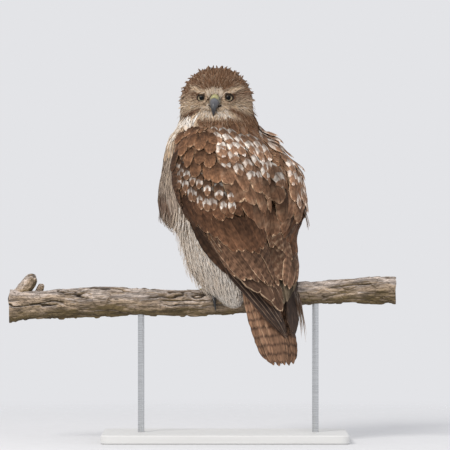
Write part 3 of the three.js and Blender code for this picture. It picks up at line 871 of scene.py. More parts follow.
class Nodes:
    """Lays and links shader nodes in one tree."""

    def __init__(self, tree: Tree) -> None:
        """Works in the given tree."""
        self.tree = tree

    def put(self, socket: Socket, value: object) -> None:
        """Links a socket to another, or sets its value.

        Args:
            socket: The input.
            value: A socket, a number or a colour.
        """
        if isinstance(value, Socket):
            self.tree.links.new(value, socket)
        else:
            socket.default_value = (*value, 1.0) if isinstance(value, tuple) else value

    def add(self, kind: str, inputs: dict | None = None, **settings: object) -> bpy.types.Node:
        """Adds a node.

        Args:
            kind: The node's type name, without its ShaderNode prefix.
            inputs: Values or sockets for its inputs, by name or number.
            settings: Its own settings.

        Returns:
            The node.
        """
        node = self.tree.nodes.new(f"ShaderNode{kind}")
        for name, value in settings.items():
            setattr(node, name, value)
        for key, value in (inputs or {}).items():
            self.put(node.inputs[key], value)
        return node

    def group(self, tree: Tree, **inputs: object) -> bpy.types.NodeOutputs:
        """Adds a node group.

        Args:
            tree: The group.
            inputs: Values or sockets for its inputs, in lower case and with underscores.

        Returns:
            Its outputs.
        """
        given = {titled(name): value for name, value in inputs.items()}
        return self.add("Group", given, node_tree=tree).outputs

    def calc(self, how: str, *parts: object) -> Socket:
        """The result of a Math node."""
        return self.add("Math", dict(enumerate(parts)), operation=how).outputs[0]

    def times(self, value: object, factor: object) -> Socket:
        """A product."""
        return self.calc("MULTIPLY", value, factor)

    def minus(self, value: object, less: object) -> Socket:
        """A difference."""
        return self.calc("SUBTRACT", value, less)

    def line(self, value: object, slope: object, start: object) -> Socket:
        """A value times a slope, and a start."""
        return self.calc("MULTIPLY_ADD", value, slope, start)

    def fit(
        self, value: object, low: float, high: float, to_low: object = 0.0, to_high: float = 1.0
    ) -> Socket:
        """A value moved smoothly from one span to another.

        Args:
            value: The value.
            low: The span's start.
            high: The span's end.
            to_low: What the start becomes.
            to_high: What the end becomes.

        Returns:
            The socket of the result.
        """
        inputs = {"Value": value, 1: low, 2: high, 3: to_low, 4: to_high}
        return self.add("MapRange", inputs, interpolation_type="SMOOTHSTEP").outputs[0]

    def spread(self, noise: Socket, low: float, high: float) -> Socket:
        """A noise's usual span spread over another."""
        return self.fit(noise, 0.3, 0.7, low, high)

    def mix(self, share: object, first: object, second: object, blend: str = "MIX") -> Socket:
        """A colour between two, or two blended."""
        inputs = {"Factor": share, 6: first, 7: second}
        return self.add("Mix", inputs, data_type="RGBA", blend_type=blend).outputs[2]

    def shaded(self, colour: object, shade: Socket) -> Socket:
        """A colour made lighter or darker."""
        return self.mix(1.0, colour, self.vector(shade, shade, shade), "MULTIPLY")

    def fac(self, name: str) -> Socket:
        """A number that the mesh holds."""
        return self.add("Attribute", attribute_name=name).outputs["Fac"]

    def hue(self, name: str) -> Socket:
        """A colour that the mesh holds."""
        return self.add("Attribute", attribute_name=name).outputs["Color"]

    def place(self) -> Socket:
        """The place on the object."""
        return self.add("TexCoord").outputs["Object"]

    def parts(self, vector: Socket) -> bpy.types.NodeOutputs:
        """The three values of a vector."""
        return self.add("SeparateXYZ", {0: vector}).outputs

    def vector(self, x: object, y: object, z: object) -> Socket:
        """Three values as a vector."""
        return self.add("CombineXYZ", {0: x, 1: y, 2: z}).outputs[0]

    def noise(self, place: object, scale: object, detail: float = 2.0) -> Socket:
        """A noise's value at a place."""
        return self.add("TexNoise", {"Vector": place, "Scale": scale, "Detail": detail}).outputs[0]


class Effect:
    """A node group in the making, with named inputs and outputs."""

    def __init__(self, name: str, inputs: dict[str, object], *outputs: str) -> None:
        """Makes the group and its sockets.

        Args:
            name: The group's name.
            inputs: Each input's name and default: a number or a colour.
            outputs: The outputs' names; Colour is a colour and the others are numbers.
        """
        self.tree = bpy.data.node_groups.new(name, "ShaderNodeTree")
        for label, value in inputs.items():
            kind = "NodeSocketColor" if isinstance(value, tuple) else "NodeSocketFloat"
            new = self.tree.interface.new_socket(titled(label), in_out="INPUT", socket_type=kind)
            new.default_value = (*value, 1.0) if isinstance(value, tuple) else value
        for label in outputs:
            kind = "NodeSocketColor" if label == "Colour" else "NodeSocketFloat"
            self.tree.interface.new_socket(label, in_out="OUTPUT", socket_type=kind)
        self.nodes = Nodes(self.tree)
        self.inputs = self.tree.nodes.new("NodeGroupInput").outputs
        self.results = self.tree.nodes.new("NodeGroupOutput").inputs

    def give(self, **results: Socket) -> Tree:
        """Links the outputs.

        Args:
            results: What goes to each output.

        Returns:
            The group.
        """
        for label, value in results.items():
            self.nodes.put(self.results[label], value)
        return self.tree


@cache
def barb_effect() -> Tree:
    """Fine barbs that lean from the shaft to the tip, and the locks they part into.

    Returns:
        The node group.
    """
    effect = Effect("barbs", {"count": 40.0, "lean": 8.0, "locks": 5.0}, "Line", "Lock", "Height")
    nodes, given = effect.nodes, effect.inputs
    across = nodes.fac("Across")
    lean = nodes.times(nodes.calc("ABSOLUTE", across), given["Lean"])
    run = nodes.minus(nodes.times(nodes.fac("Along"), given["Count"]), lean)
    tone = nodes.times(nodes.fac("Tone"), 91.0)
    place = nodes.vector(nodes.times(across, given["Locks"]), nodes.times(run, 0.09), tone)
    lock = nodes.noise(place, 1.0)
    full_turn = 6.2832
    wave = nodes.calc("SINE", nodes.line(run, full_turn, nodes.times(lock, 5.0)))
    line = nodes.line(wave, 0.5, 0.5)
    return effect.give(Line=line, Lock=lock, Height=nodes.line(line, 0.35, lock))


@cache
def markings_and_shade_effect() -> Tree:
    """The markings of a large feather: bars, rim and shaft, with painted shade at its covered root.

    Returns:
        The node group, whose inputs are the fields of Marks and the barbs' locks.
    """
    inputs = {mark.name: mark.default for mark in fields(Marks)}
    effect = Effect("feather markings", inputs | {"locks": 0.5}, "Colour")
    nodes, given = effect.nodes, effect.inputs
    along, across, tone = (nodes.fac(name) for name in ("Along", "Across", "Tone"))
    away = nodes.calc("ABSOLUTE", across)
    far_tone = nodes.times(tone, 63.0)
    wander = nodes.noise(nodes.vector(across, nodes.times(along, 4.0), far_tone), 1.6)
    bent = nodes.times(nodes.line(wander, 0.4, nodes.times(away, -0.25)), given["Bend"])
    count = nodes.line(nodes.fac("Place"), given["Bar Count"], bent)
    wave = nodes.calc("FRACT", nodes.line(tone, given["Stagger"], count))
    middle = nodes.calc("ABSOLUTE", nodes.minus(wave, 0.5))
    inside = nodes.minus(nodes.times(given["Bar Share"], 0.5), middle)
    strength = nodes.times(given["Bar Strength"], nodes.fit(away, 0.02, 0.45, 0.45, 1.0))
    strength = nodes.times(strength, nodes.fac("Mark"))
    soft = nodes.calc("DIVIDE", inside, given["Bar Blur"])
    bar = nodes.times(nodes.fit(soft, -1.0, 1.1), strength)
    colour = nodes.mix(bar, given["Ground"], given["Bar"])
    tip_gap = nodes.times(nodes.minus(1.0, along), given["Slender"])
    edge = nodes.calc("MINIMUM", nodes.minus(1.0, away), tip_gap)
    ragged = nodes.line(nodes.minus(wander, 0.5), given["Wear"], edge)
    limit = nodes.minus(given["Rim Width"], ragged)
    rim = nodes.times(nodes.fit(limit, -0.05, 0.02), given["Rim Strength"])
    colour = nodes.mix(rim, colour, given["Rim"])
    shaft = nodes.fit(nodes.minus(given["Shaft Width"], away), -0.02, 0.02)
    colour = nodes.mix(shaft, colour, given["Shaft"])
    shade = nodes.line(given["Locks"], 0.9, 0.55)
    shade = nodes.line(tone, 0.4, nodes.minus(shade, 0.2))
    blotch = nodes.noise(nodes.vector(across, nodes.times(along, 3.0), far_tone), 3.4, 3.0)
    # Root Shade paints shade on the covered root, and light where it is over 1; Shade comes from
    # the row.
    for factor in (
        nodes.fit(along, 0.3, 0.8, given["Root Shade"], 1.25),
        nodes.fit(edge, 0.05, 0.7, 1.3, 0.8),
        nodes.spread(blotch, 0.72, 1.3),
        nodes.fac("Shade"),
    ):
        shade = nodes.times(shade, factor)
    return effect.give(Colour=nodes.shaded(colour, shade))


@cache
def grain_effect() -> Tree:
    """Wood or horn grain: streaks drawn out along X, with fine cracks between them.

    Returns:
        The node group.
    """
    inputs = {"scale": 60.0, "stretch": 0.12, "depth": 1.0}
    effect = Effect("grain", inputs, "Streak", "Crack", "Height")
    nodes, given = effect.nodes, effect.inputs
    parts = nodes.parts(nodes.place())
    drawn = nodes.vector(nodes.times(parts[0], given["Stretch"]), parts[1], parts[2])
    streak = nodes.noise(drawn, given["Scale"], 5.0)
    fine = nodes.noise(drawn, nodes.times(given["Scale"], 3.1), 3.0)
    edge = nodes.calc("ABSOLUTE", nodes.minus(fine, 0.5))
    crack = nodes.fit(edge, 0.0, 0.045, 1.0, 0.0)
    height = nodes.times(nodes.line(crack, -0.5, streak), given["Depth"])
    return effect.give(Streak=streak, Crack=crack, Height=height)


@cache
def scale_effect() -> Tree:
    """Small rounded scales or pores, by cells.

    Returns:
        The node group.
    """
    effect = Effect("scales", {"scale": 400.0}, "Cell", "Gap")
    nodes = effect.nodes
    inputs = {"Vector": nodes.place(), "Scale": effect.inputs["Scale"]}
    cell = nodes.add("TexVoronoi", inputs).outputs["Distance"]
    return effect.give(Cell=cell, Gap=nodes.fit(cell, 0.3, 0.75))


class Finish:
    """A material with a Principled shader and the means to lay nodes in it."""

    def __init__(self, name: str, **fixed: float) -> None:
        """Starts the material.

        Args:
            name: Its name.
            fixed: Values set on the shader's own sockets, with underscores for spaces.
        """
        self.material = bpy.data.materials.new(name)
        self.material.use_nodes = True
        self.nodes = Nodes(self.material.node_tree)
        self.shader = self.material.node_tree.nodes["Principled BSDF"]
        for label, value in fixed.items():
            self.shader.inputs[label.replace("_", " ")].default_value = value

    def wire(
        self, colour: Socket, rough: object, height: Socket | None = None, depth: float = 0.1
    ) -> Material:
        """Links the shader.

        Args:
            colour: The base colour.
            rough: The roughness.
            height: The height of a bump, if any.
            depth: The bump's distance in millimetres.

        Returns:
            The material.
        """
        self.nodes.put(self.shader.inputs["Base Color"], colour)
        self.nodes.put(self.shader.inputs["Roughness"], rough)
        if height is not None:
            inputs = {"Height": height, "Strength": 1.0, "Distance": depth * MM}
            bump = self.nodes.add("Bump", inputs)
            self.nodes.put(self.shader.inputs["Normal"], bump.outputs[0])
        return self.material


@dataclass(frozen=True)
class CoatFinish:
    """Small feathers, whose two colours each feather carries, with painted shade at their roots."""

    name: str
    rim_from: float = 0.5
    rim_over: float = 0.4
    contrast: float = 0.8
    root_shade: float = 0.4
    vary: float = 0.5
    depth: float = 0.35

    def material(self) -> Material:
        """Makes the material.

        Returns:
            The material.
        """
        finish = Finish(self.name, Specular_IOR_Level=0.08)
        nodes = finish.nodes
        barbs = nodes.group(barb_effect(), count=14.0, lean=4.0, locks=3.0)
        along = nodes.fac("Along")
        away = nodes.calc("ABSOLUTE", nodes.fac("Across"))
        edge = nodes.calc("MAXIMUM", away, nodes.calc("POWER", along, 4.0))
        torn = nodes.line(barbs["Lock"], 0.5, nodes.minus(edge, 0.25))
        rim = nodes.fit(torn, self.rim_from, self.rim_from + self.rim_over)
        colour = nodes.mix(rim, nodes.hue("Ground"), nodes.hue("Rim"))
        streak = nodes.line(barbs["Lock"], self.contrast, 1 - 0.5 * self.contrast)
        shade = nodes.line(barbs["Line"], 0.12, nodes.minus(streak, 0.06))
        # Painted shade: each feather darkens towards its root, where those over it cover it.
        deep = nodes.fit(along, 0.0, 0.6, self.root_shade, 1.0)
        deep = nodes.times(deep, nodes.line(nodes.fac("Tone"), self.vary, 1 - 0.5 * self.vary))
        colour = nodes.shaded(colour, nodes.times(shade, deep))
        rough = nodes.fit(barbs["Lock"], 0.2, 0.8, 0.68, 0.86)
        return finish.wire(colour, rough, barbs["Height"], self.depth)


@dataclass(frozen=True)
class Marks:
    """The markings of a large feather; each field is an input of their node group.

    Bars are counted along the feather: bar_share is the share of the way that they take up,
    stagger how far they shift from feather to feather, bend how far they curve and bar_blur
    how soft they are. slender is the length over the width, wear how uneven the rim is and
    root_shade how light the root is.
    """

    ground: Colour = UMBER
    bar: Colour = SEPIA
    rim: Colour = BUFF
    shaft: Colour = (0.105, 0.055, 0.032)
    bar_count: float = 5.0
    bar_share: float = 0.4
    bar_strength: float = 0.4
    stagger: float = 1.0
    rim_width: float = 0.12
    rim_strength: float = 0.7
    shaft_width: float = 0.03
    wear: float = 0.3
    bend: float = 1.0
    bar_blur: float = 0.12
    slender: float = 3.6
    # Painted shade on the covered root below 1, painted light above 1.
    root_shade: float = 0.55


@dataclass(frozen=True)
class VaneFinish:
    """Large feathers of one kind, with their markings and painted shade."""

    name: str
    marks: Marks
    gloss: float = 0.0

    def material(self) -> Material:
        """Makes the material.

        Returns:
            The material.
        """
        finish = Finish(self.name, Specular_IOR_Level=0.08 + 0.3 * self.gloss)
        nodes = finish.nodes
        barbs = nodes.group(barb_effect(), count=46.0, lean=9.0, locks=2.5)
        marks = nodes.group(markings_and_shade_effect(), **vars(self.marks), locks=barbs["Lock"])
        smoother = 0.14 * self.gloss
        rough = nodes.fit(barbs["Line"], 0.0, 1.0, 0.58 - smoother, 0.72 - smoother)
        return finish.wire(marks["Colour"], rough, barbs["Height"], 0.22)


@dataclass(frozen=True)
class SkinFinish:
    """The skin under the coat: the coat's markings made a quarter to a half darker, in small cells.
    """

    name: str = "skin"

    def material(self) -> Material:
        """Makes the material.

        Returns:
            The material.
        """
        finish = Finish(self.name, Specular_IOR_Level=0.15)
        nodes = finish.nodes
        cell = nodes.group(scale_effect(), scale=500.0)["Cell"]
        colour = nodes.shaded(nodes.hue("Ground"), nodes.fit(cell, 0.0, 0.8, 0.75, 0.5))
        return finish.wire(colour, nodes.fit(cell, 0.0, 1.0, 0.8, 0.95), cell, 0.4)


@dataclass(frozen=True)
class HornFinish:
    """Bill and claws: horn that darkens towards its tip."""

    name: str
    root: Colour
    tip: Colour
    turn: float

    def material(self) -> Material:
        """Makes the material.

        Returns:
            The material.
        """
        finish = Finish(self.name, Coat_Weight=0.35, Coat_Roughness=0.2)
        nodes = finish.nodes
        grain = nodes.group(grain_effect(), scale=260.0, stretch=0.5, depth=0.6)
        streak = grain["Streak"]
        wander = nodes.line(streak, 0.3, nodes.minus(nodes.fac("Along"), 0.15))
        turned = nodes.fit(wander, self.turn - 0.25, self.turn + 0.2)
        colour = nodes.mix(turned, self.root, self.tip)
        colour = nodes.shaded(colour, nodes.spread(streak, 0.8, 1.15))
        return finish.wire(colour, nodes.spread(streak, 0.3, 0.42), grain["Height"], 0.08)


@dataclass(frozen=True)
class ScaleFinish:
    """Bare scaly or waxy skin."""

    name: str
    colour: Colour
    crease: Colour
    scale: float = 450.0
    depth: float = 0.3
    rough: float = 0.5
    flank: Colour = (0.20, 0.185, 0.15)
    gloss: float = 0.35

    def material(self) -> Material:
        """Makes the material.

        Returns:
            The material.
        """
        finish = Finish(self.name, Specular_IOR_Level=self.gloss)
        nodes = finish.nodes
        cells = nodes.group(scale_effect(), scale=self.scale)
        patch = nodes.fit(nodes.noise(nodes.place(), 120.0, 3.0), 0.35, 0.7, 0.0, 0.45)
        colour = nodes.mix(nodes.times(cells["Gap"], 0.7), self.colour, self.crease)
        colour = nodes.mix(patch, colour, self.crease)
        colour = nodes.mix(nodes.fit(nodes.fac("Flank"), 0.06, 0.34), colour, self.flank)
        rough = nodes.fit(cells["Cell"], 0.0, 0.8, self.rough - 0.08, self.rough + 0.15)
        return finish.wire(colour, rough, nodes.times(cells["Cell"], -1.0), self.depth)


@dataclass(frozen=True)
class EyeFinish:
    """A glossy eye: black pupil, pale streaked iris, dark rim, and painted brow shadow on the iris.

    The mesh's Ray is 1 at the iris's edge, and its Wheel points round it.
    """

    name: str = "eye"
    pupil: float = 0.6
    iris: Colour = (0.38, 0.32, 0.215)
    iris_dark: Colour = (0.20, 0.15, 0.09)
    painted_brow_shadow: Colour = (0.02, 0.013, 0.009)
    rim: Colour = (0.02, 0.014, 0.01)
    black: Colour = (0.004, 0.004, 0.004)

    def material(self) -> Material:
        """Makes the material.

        Returns:
            The material.
        """
        finish = Finish(
            self.name, Coat_Weight=0.3, Coat_Roughness=0.04, Coat_IOR=1.37, Specular_IOR_Level=0.0
        )
        nodes = finish.nodes
        ray = nodes.fac("Ray")
        wheel = nodes.add("Attribute", attribute_name="Wheel").outputs["Vector"]
        streak = nodes.noise(wheel, 9.0, 3.0)
        iris = nodes.mix(nodes.fit(streak, 0.35, 0.7), self.iris, self.iris_dark)
        iris = nodes.mix(nodes.fit(ray, 0.72, 1.0), iris, self.iris_dark)
        parts = nodes.parts(wheel)
        # Painted shadow of the brow: the iris darkens towards its top and its inner side.
        above = nodes.line(parts[0], -0.6, parts[1])
        iris = nodes.mix(nodes.fit(above, -0.8, 0.35, 0.0, 0.95), iris, self.painted_brow_shadow)
        past_pupil = nodes.fit(ray, self.pupil - 0.03, self.pupil + 0.03)
        colour = nodes.mix(past_pupil, self.black, iris)
        colour = nodes.mix(nodes.fit(ray, 0.97, 1.06), colour, self.rim)
        return finish.wire(colour, nodes.fit(streak, 0.0, 1.0, 0.12, 0.2), streak, 0.02)


@dataclass(frozen=True)
class BarkFinish:
    """Dead wood: pinkish grey where it faces up, olive brown where it faces down, dark in its
    cracks.

    The mesh's Hollow is how deep a point lies in a crack.
    """

    name: str = "bark"
    top: Colour = (0.50, 0.425, 0.375)
    wood: Colour = (0.350, 0.262, 0.185)
    under: Colour = (0.150, 0.108, 0.052)
    crack: Colour = (0.030, 0.021, 0.014)

    def material(self) -> Material:
        """Makes the material.

        Returns:
            The material.
        """
        finish = Finish(self.name, Specular_IOR_Level=0.2)
        nodes = finish.nodes
        grain = nodes.group(grain_effect(), scale=190.0, stretch=0.16, depth=1.0)
        streak = grain["Streak"]
        normal = nodes.parts(nodes.add("NewGeometry").outputs["True Normal"])[2]
        patch = nodes.noise(nodes.place(), 28.0, 4.0)
        lean = nodes.line(nodes.minus(patch, 0.5), 1.5, normal)
        colour = nodes.mix(nodes.fit(lean, -0.75, 0.1), self.under, self.wood)
        colour = nodes.mix(nodes.fit(lean, 0.0, 0.85), colour, self.top)
        colour = nodes.shaded(colour, nodes.spread(streak, 0.52, 1.42))
        dark = nodes.calc("MAXIMUM", nodes.fac("Hollow"), nodes.times(grain["Crack"], 0.55))
        colour = nodes.mix(dark, colour, self.crack)
        return finish.wire(colour, nodes.fit(streak, 0.2, 0.8, 0.8, 0.95), grain["Height"], 0.9)


@dataclass(frozen=True)
class BoardFinish:
    """The stand's board: pale satin paint over fine grain."""

    name: str = "painted board"
    colour: Colour = (0.66, 0.655, 0.64)

    def material(self) -> Material:
        """Makes the material.

        Returns:
            The material.
        """
        finish = Finish(self.name, Coat_Weight=0.1, Coat_Roughness=0.4)
        nodes = finish.nodes
        grain = nodes.group(grain_effect(), scale=90.0, stretch=0.05, depth=0.25)
        streak = grain["Streak"]
        colour = nodes.shaded(self.colour, nodes.spread(streak, 0.96, 1.02))
        return finish.wire(colour, nodes.spread(streak, 0.42, 0.55), grain["Height"], 0.15)


@dataclass(frozen=True)
class SteelFinish:
    """The stand's rods: steel, brushed round."""

    name: str = "brushed steel"
    colour: Colour = (0.56, 0.57, 0.58)

    def material(self) -> Material:
        """Makes the material.

        Returns:
            The material.
        """
        finish = Finish(self.name, Metallic=1.0, Anisotropic=0.4)
        nodes = finish.nodes
        parts = nodes.parts(nodes.place())
        drawn = nodes.vector(parts[0], parts[1], nodes.times(parts[2], 60.0))
        rings = nodes.noise(drawn, 40.0, 4.0)
        colour = nodes.shaded(self.colour, nodes.spread(rings, 0.85, 1.08))
        return finish.wire(colour, nodes.spread(rings, 0.24, 0.4), rings, 0.03)


def lie(points: Array) -> Array:
    """The way small feathers point, away from the bill on the head and down the body.

    Args:
        points: Their roots in the row's frame.

    Returns:
        Directions of length one.
    """
    spot = Where.of(points)
    away = HEAD.turn(unit(spot.head - np.array([0.0, 30.0, -2.0])))
    down = BODY.turn(np.array([0.0, -0.2, -1.0]))
    back = smooth(6, -30, spot.head[..., 1]) * 0.85
    share = np.maximum(back, smooth(522, 504, spot.height))[..., None]
    return unit(away * (1 - share) + down * share)


def face_size(points: Array) -> Array:
    """How small feathers are towards the bill, as a share of their full size."""
    gap = np.linalg.norm(Where.of(points).head - np.array(BILL_BASE), axis=-1)
    return 0.5 + 0.5 * smooth(10, 40, gap)


@cache
def wing_trees() -> tuple[BVHTree, ...]:
    """The CAD's two folded wings, to measure from.

    Returns:
        A tree of faces for each.
    """
    trees = []
    for name in ("wing_left", "wing_right"):
        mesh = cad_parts[name].data
        places = [tuple(v.co / MM) for v in mesh.vertices]
        faces = [tuple(face.vertices) for face in mesh.polygons]
        trees.append(BVHTree.FromPolygons(places, faces))
    return tuple(trees)


def on_wings(points: Array) -> Array:
    """Which points lie on the folded wings.

    Args:
        points: Points in the row's frame.

    Returns:
        True for each that is close to them.
    """
    found = (
        any(tree.find_nearest(point, WING_REACH)[0] is not None for tree in wing_trees())
        for point in points.tolist()
    )
    return np.array(list(found))


@dataclass(frozen=True)
class Tract:
    """A field of small feathers: where it lies and what its feathers are like.

    heights, sides and fronts bound it by height, by degrees from the spine and by the place
    along the head; off_wing keeps it off the wings. sunk and proud are how deep the roots lie
    under the coat's surface and how far the tips stand over it. paler, mottle and grey shift,
    scatter and dull the colours, and wild scatters the way the feathers point.
    """

    name: str
    slot: Slot
    gap: float
    length: float
    half: float
    heights: Span
    sides: Span = (0.0, 180.0)
    fronts: Span = (-400.0, 400.0)
    off_wing: bool = False
    cut: Cut = Cut()
    finish: CoatFinish = CoatFinish("plumage", rim_over=0.3)
    sunk: float = 4.0
    proud: float = 0.6
    wild: float = 0.12
    mottle: float = 0.1
    paler: float = 0.0
    grey: float = 0.0

    def _keep(self, points: Array) -> Array:
        """Which points are the tract's.

        Args:
            points: Points in the row's frame.

        Returns:
            True for those inside its bounds that are clear of bill and eyes.
        """
        spot = Where.of(points)
        x, y, z = np.moveaxis(spot.head, -1, 0)
        inside = (np.hypot(x, z - BILL_BASE[2]) > BILL_CLEAR) | (y < BILL_FRONT)
        inside &= (np.hypot(np.abs(x) - EYE_MIDDLE[0], z - EYE_MIDDLE[1]) > EYE_CLEAR) | (
            y < EYE_FRONT
        )
        bounds = (self.heights, self.sides, self.fronts)
        for value, (low, high) in zip((spot.height, np.abs(spot.angle), y), bounds):
            inside &= (value >= low) & (value < high)
        if self.off_wing:
            inside &= ~on_wings(points)
        return inside

    def lay(self, shell: Shell, seed: int) -> None:
        """Makes the tract's piece.

        Args:
            shell: The surface it lies on.
            seed: The seed of its chance.
        """
        rng = np.random.default_rng(seed)
        roots = shell.scatter(self._keep, lambda p: self.gap * face_size(p), seed)
        size, count, cut = face_size(roots), len(roots), self.cut
        ways = lie(roots) + rng.normal(0, self.wild, (count, 3))
        lengths = self.length * size * rng.uniform(0.82, 1.18, count)
        line, out = walked(shell, roots, ways, lengths, cut)
        knots = np.interp(cut.ways(), [0, 0.4, 1], [-self.sunk, -0.3 * self.sunk, self.proud])
        height = knots * size[:, None] + rng.normal(0, 0.3, (count, 1)) * cut.ways()
        spine = line + out * height[..., None]
        halves = self.half * size * rng.uniform(0.85, 1.15, count)
        plumes = Plumes(cut, spine, out, halves, rng.normal(0, 9, count), rng.random(count))
        pale = Plumage.pale(line[:, -2]) + rng.normal(self.paler, self.mottle, count)
        dull = np.array([1.06, 1.0, 0.93])
        colours = tuple(
            colour + (colour.mean(1, keepdims=True) * dull - colour) * self.grey
            for colour in Plumage.paint(np.clip(pale, -0.5, 1))
        )
        patch = plumes.patch(rng, skin_spots(roots), colours)
        add_piece(patch, self.name, self.finish.material(), self.slot)


@dataclass(frozen=True)
class Skin:
    """The one skin under the coat."""

    depth: float = 5.0
    head_depth: float = 3.6
    bill_depth: float = 1.2
    most_share: float = 0.35

    def build(self, shell: Shell) -> None:
        """Makes the skin a coat's depth inside a shell.

        Args:
            shell: The coat's surface.
        """
        on_head = smooth(HEAD_FLOOR - 8, HEAD_FLOOR + 8, Where.of(shell.points).height)
        deep = self.depth + (self.head_depth - self.depth) * on_head
        near = (face_size(shell.points) - 0.5) * 2
        deep = self.bill_depth + (deep - self.bill_depth) * near
        for n, (point, normal) in enumerate(zip(shell.points, shell.normals)):
            hit = shell.tree.ray_cast((point - 0.6 * normal).tolist(), (-normal).tolist())
            if hit[0] is not None:
                deep[n] = min(deep[n], self.most_share * hit[3])
        points = shell.points - shell.normals * deep[:, None]
        colours = zip(("Ground", "Rim"), Plumage.paint(Plumage.pale(shell.points)))
        patch = Patch(points, shell.faces, NO_TRIS, dict(colours))
        paired = [f"{part}_{side}" for part in ("wing", "thigh") for side in ("left", "right")]
        flesh = ("head", "neck", "trunk", *paired)
        add_piece(patch, "skin", SkinFinish().material(), Slot.BREAST, *flesh)


@dataclass(frozen=True)
class Row:
    """A row of large feathers that lie over each other on a wing or the back.

    tips are the places of their tips, as angles and heights. rise is the way from a tip back
    to its root, at the row's first and last feather. lift is the height over the coat's
    surface at the root, in the middle and at the tip. roll turns each feather about its shaft,
    stray is how loosely they lie, and both says whether the right wing has the row too.
    """

    name: str
    finish: VaneFinish
    half: float
    tips: Rows
    rise: Rows
    lift: tuple[float, float, float]
    cut: Cut = COVERT
    roll: float = 5.0
    stray: float = 1.0
    both: bool = True

    # How far tips stray in degrees and height, how far each feather lies over the one before,
    # and what share of the way to the coat a vane is drawn, and how far at most.
    STRAY = (1.0, 2.6)
    LAYER = 0.25
    CLING = (0.75, 3.0)

    def lay(self, shell: Shell, seed: int) -> None:
        """Makes the row's piece, as given and, if it is on both wings, mirrored.

        Args:
            shell: The surface it lies on.
            seed: The seed of its chance.
        """
        sides = (False, True) if self.both else (False,)
        patch = Patch.joined([self._side(shell, seed, right) for right in sides])
        add_piece(patch, self.name, self.finish.material(), Slot.WING)

    def _side(self, shell: Shell, seed: int, right: bool) -> Patch:
        """The row on one side; the right wing is looser.

        Args:
            shell: The surface it lies on.
            seed: The seed of the left side's chance.
            right: Whether this is the right side.

        Returns:
            The patch.
        """
        rng = np.random.default_rng(seed + 50 * right)
        tips = np.array(self.tips, float)
        count, way = len(tips), self.cut.ways()
        loose = self.stray * (2.0 if right else 1.0)
        tips += rng.normal(0, 1, tips.shape) * np.array(self.STRAY) * loose
        roots = tips + along_rows(self.rise, np.linspace(0, 1, count))
        if right:
            tips, roots = self._mirrored(tips), self._mirrored(roots)
        places = roots[:, None] + (tips - roots)[:, None] * way[None, :, None]
        angle, level = places[..., 0], places[..., 1]
        on = shell.on_body(angle, level)
        out = shell.nearest(on)[1]
        for _ in range(3):
            for line in (on, out):
                line[:, 1:-1] = 0.25 * line[:, :-2] + 0.5 * line[:, 1:-1] + 0.25 * line[:, 2:]
        out = unit(out + out.mean(1, keepdims=True))
        height = np.interp(way, [0, 0.5, 1], self.lift)[None] + rng.normal(0, 0.4, (count, 1)) * way
        height = height + self.LAYER * np.arange(count)[:, None]
        halves = rng.uniform(0.86, 1.12, count) * self.half
        turn = (self.roll + rng.normal(0, 4.0 * loose, count)) * (-1 if right else 1)
        mark = rng.uniform(0.4 if right else 0.55, 1.0, count)[:, None, None]
        edge = smooth(70, 98, np.abs(tips[:, 0])) * (tips[:, 1] < 420)
        # Painted shadow in the crease where the two folded wings meet.
        gap = np.interp(level, *np.transpose(WING_GAP))
        crease = bell(angle, gap, 4.5) * smooth(425, 405, level)
        # Painted light: the right wing's feathers are drawn 1.2 times lighter.
        shade = (1.2 if right else 1.0) * (1 - 0.38 * edge)[:, None] * (1 - 0.55 * crease)
        spine, tone = on + out * height[..., None], rng.random(count)
        plumes = Plumes(
            self.cut, spine, out, halves, turn, tone, mark=mark, shade=shade[..., None]
        )
        return plumes.patch(rng, cling=(shell, *self.CLING))

    @staticmethod
    def _mirrored(places: Array) -> Array:
        """Places on the right side, which starts past the gap between the folded wings."""
        angle = -(places[:, 0] + RIGHT_SHIFT * (1 - places[:, 0] / 105))
        return np.stack([angle, places[:, 1]], -1)


SECONDARY = VaneFinish("secondaries", Marks(
    (0.155, 0.085, 0.051), (0.040, 0.021, 0.013), (0.42, 0.285, 0.185), (0.07, 0.038, 0.023),
    bar_count=9.0, bar_share=0.45, bar_strength=0.9, stagger=0.2, rim_strength=0.85, wear=0.2,
    bend=0.8, bar_blur=0.1, slender=7.5, root_shade=0.8,
))
GREATER = VaneFinish("greater coverts", Marks(
    (0.120, 0.058, 0.031), (0.058, 0.029, 0.017), (0.42, 0.27, 0.165), bar_count=7.0,
    bar_share=0.5, bar_strength=0.6, stagger=0.4, rim_width=0.08, rim_strength=0.8,
    slender=8.0, root_shade=0.6,
))
MEDIAN = VaneFinish("median coverts", Marks(
    (0.185, 0.100, 0.058), (0.66, 0.60, 0.54), (0.46, 0.32, 0.21), bar_count=2.0,
    bar_share=0.34, bar_strength=0.9, stagger=0.25, rim_width=0.11, rim_strength=0.75,
    wear=0.4, bend=1.2, bar_blur=0.06, slender=5.0, root_shade=0.35,
))
LESSER = VaneFinish("lesser coverts", Marks(
    (0.156, 0.078, 0.041), (0.075, 0.038, 0.022), (0.40, 0.26, 0.165), (0.13, 0.07, 0.043),
    bar_count=2.5, bar_strength=0.5, rim_width=0.09, rim_strength=0.6, wear=0.7, slender=5.5,
    root_shade=0.5,
))
SCAPULAR = VaneFinish("scapulars", Marks(
    (0.225, 0.127, 0.077), (0.65, 0.59, 0.525), (0.46, 0.33, 0.22), (0.20, 0.12, 0.08),
    bar_count=2.1, bar_share=0.46, bar_strength=0.95, stagger=0.3, rim_width=0.09,
    rim_strength=0.65, wear=0.5, bar_blur=0.05, slender=5.0, root_shade=0.6,
))
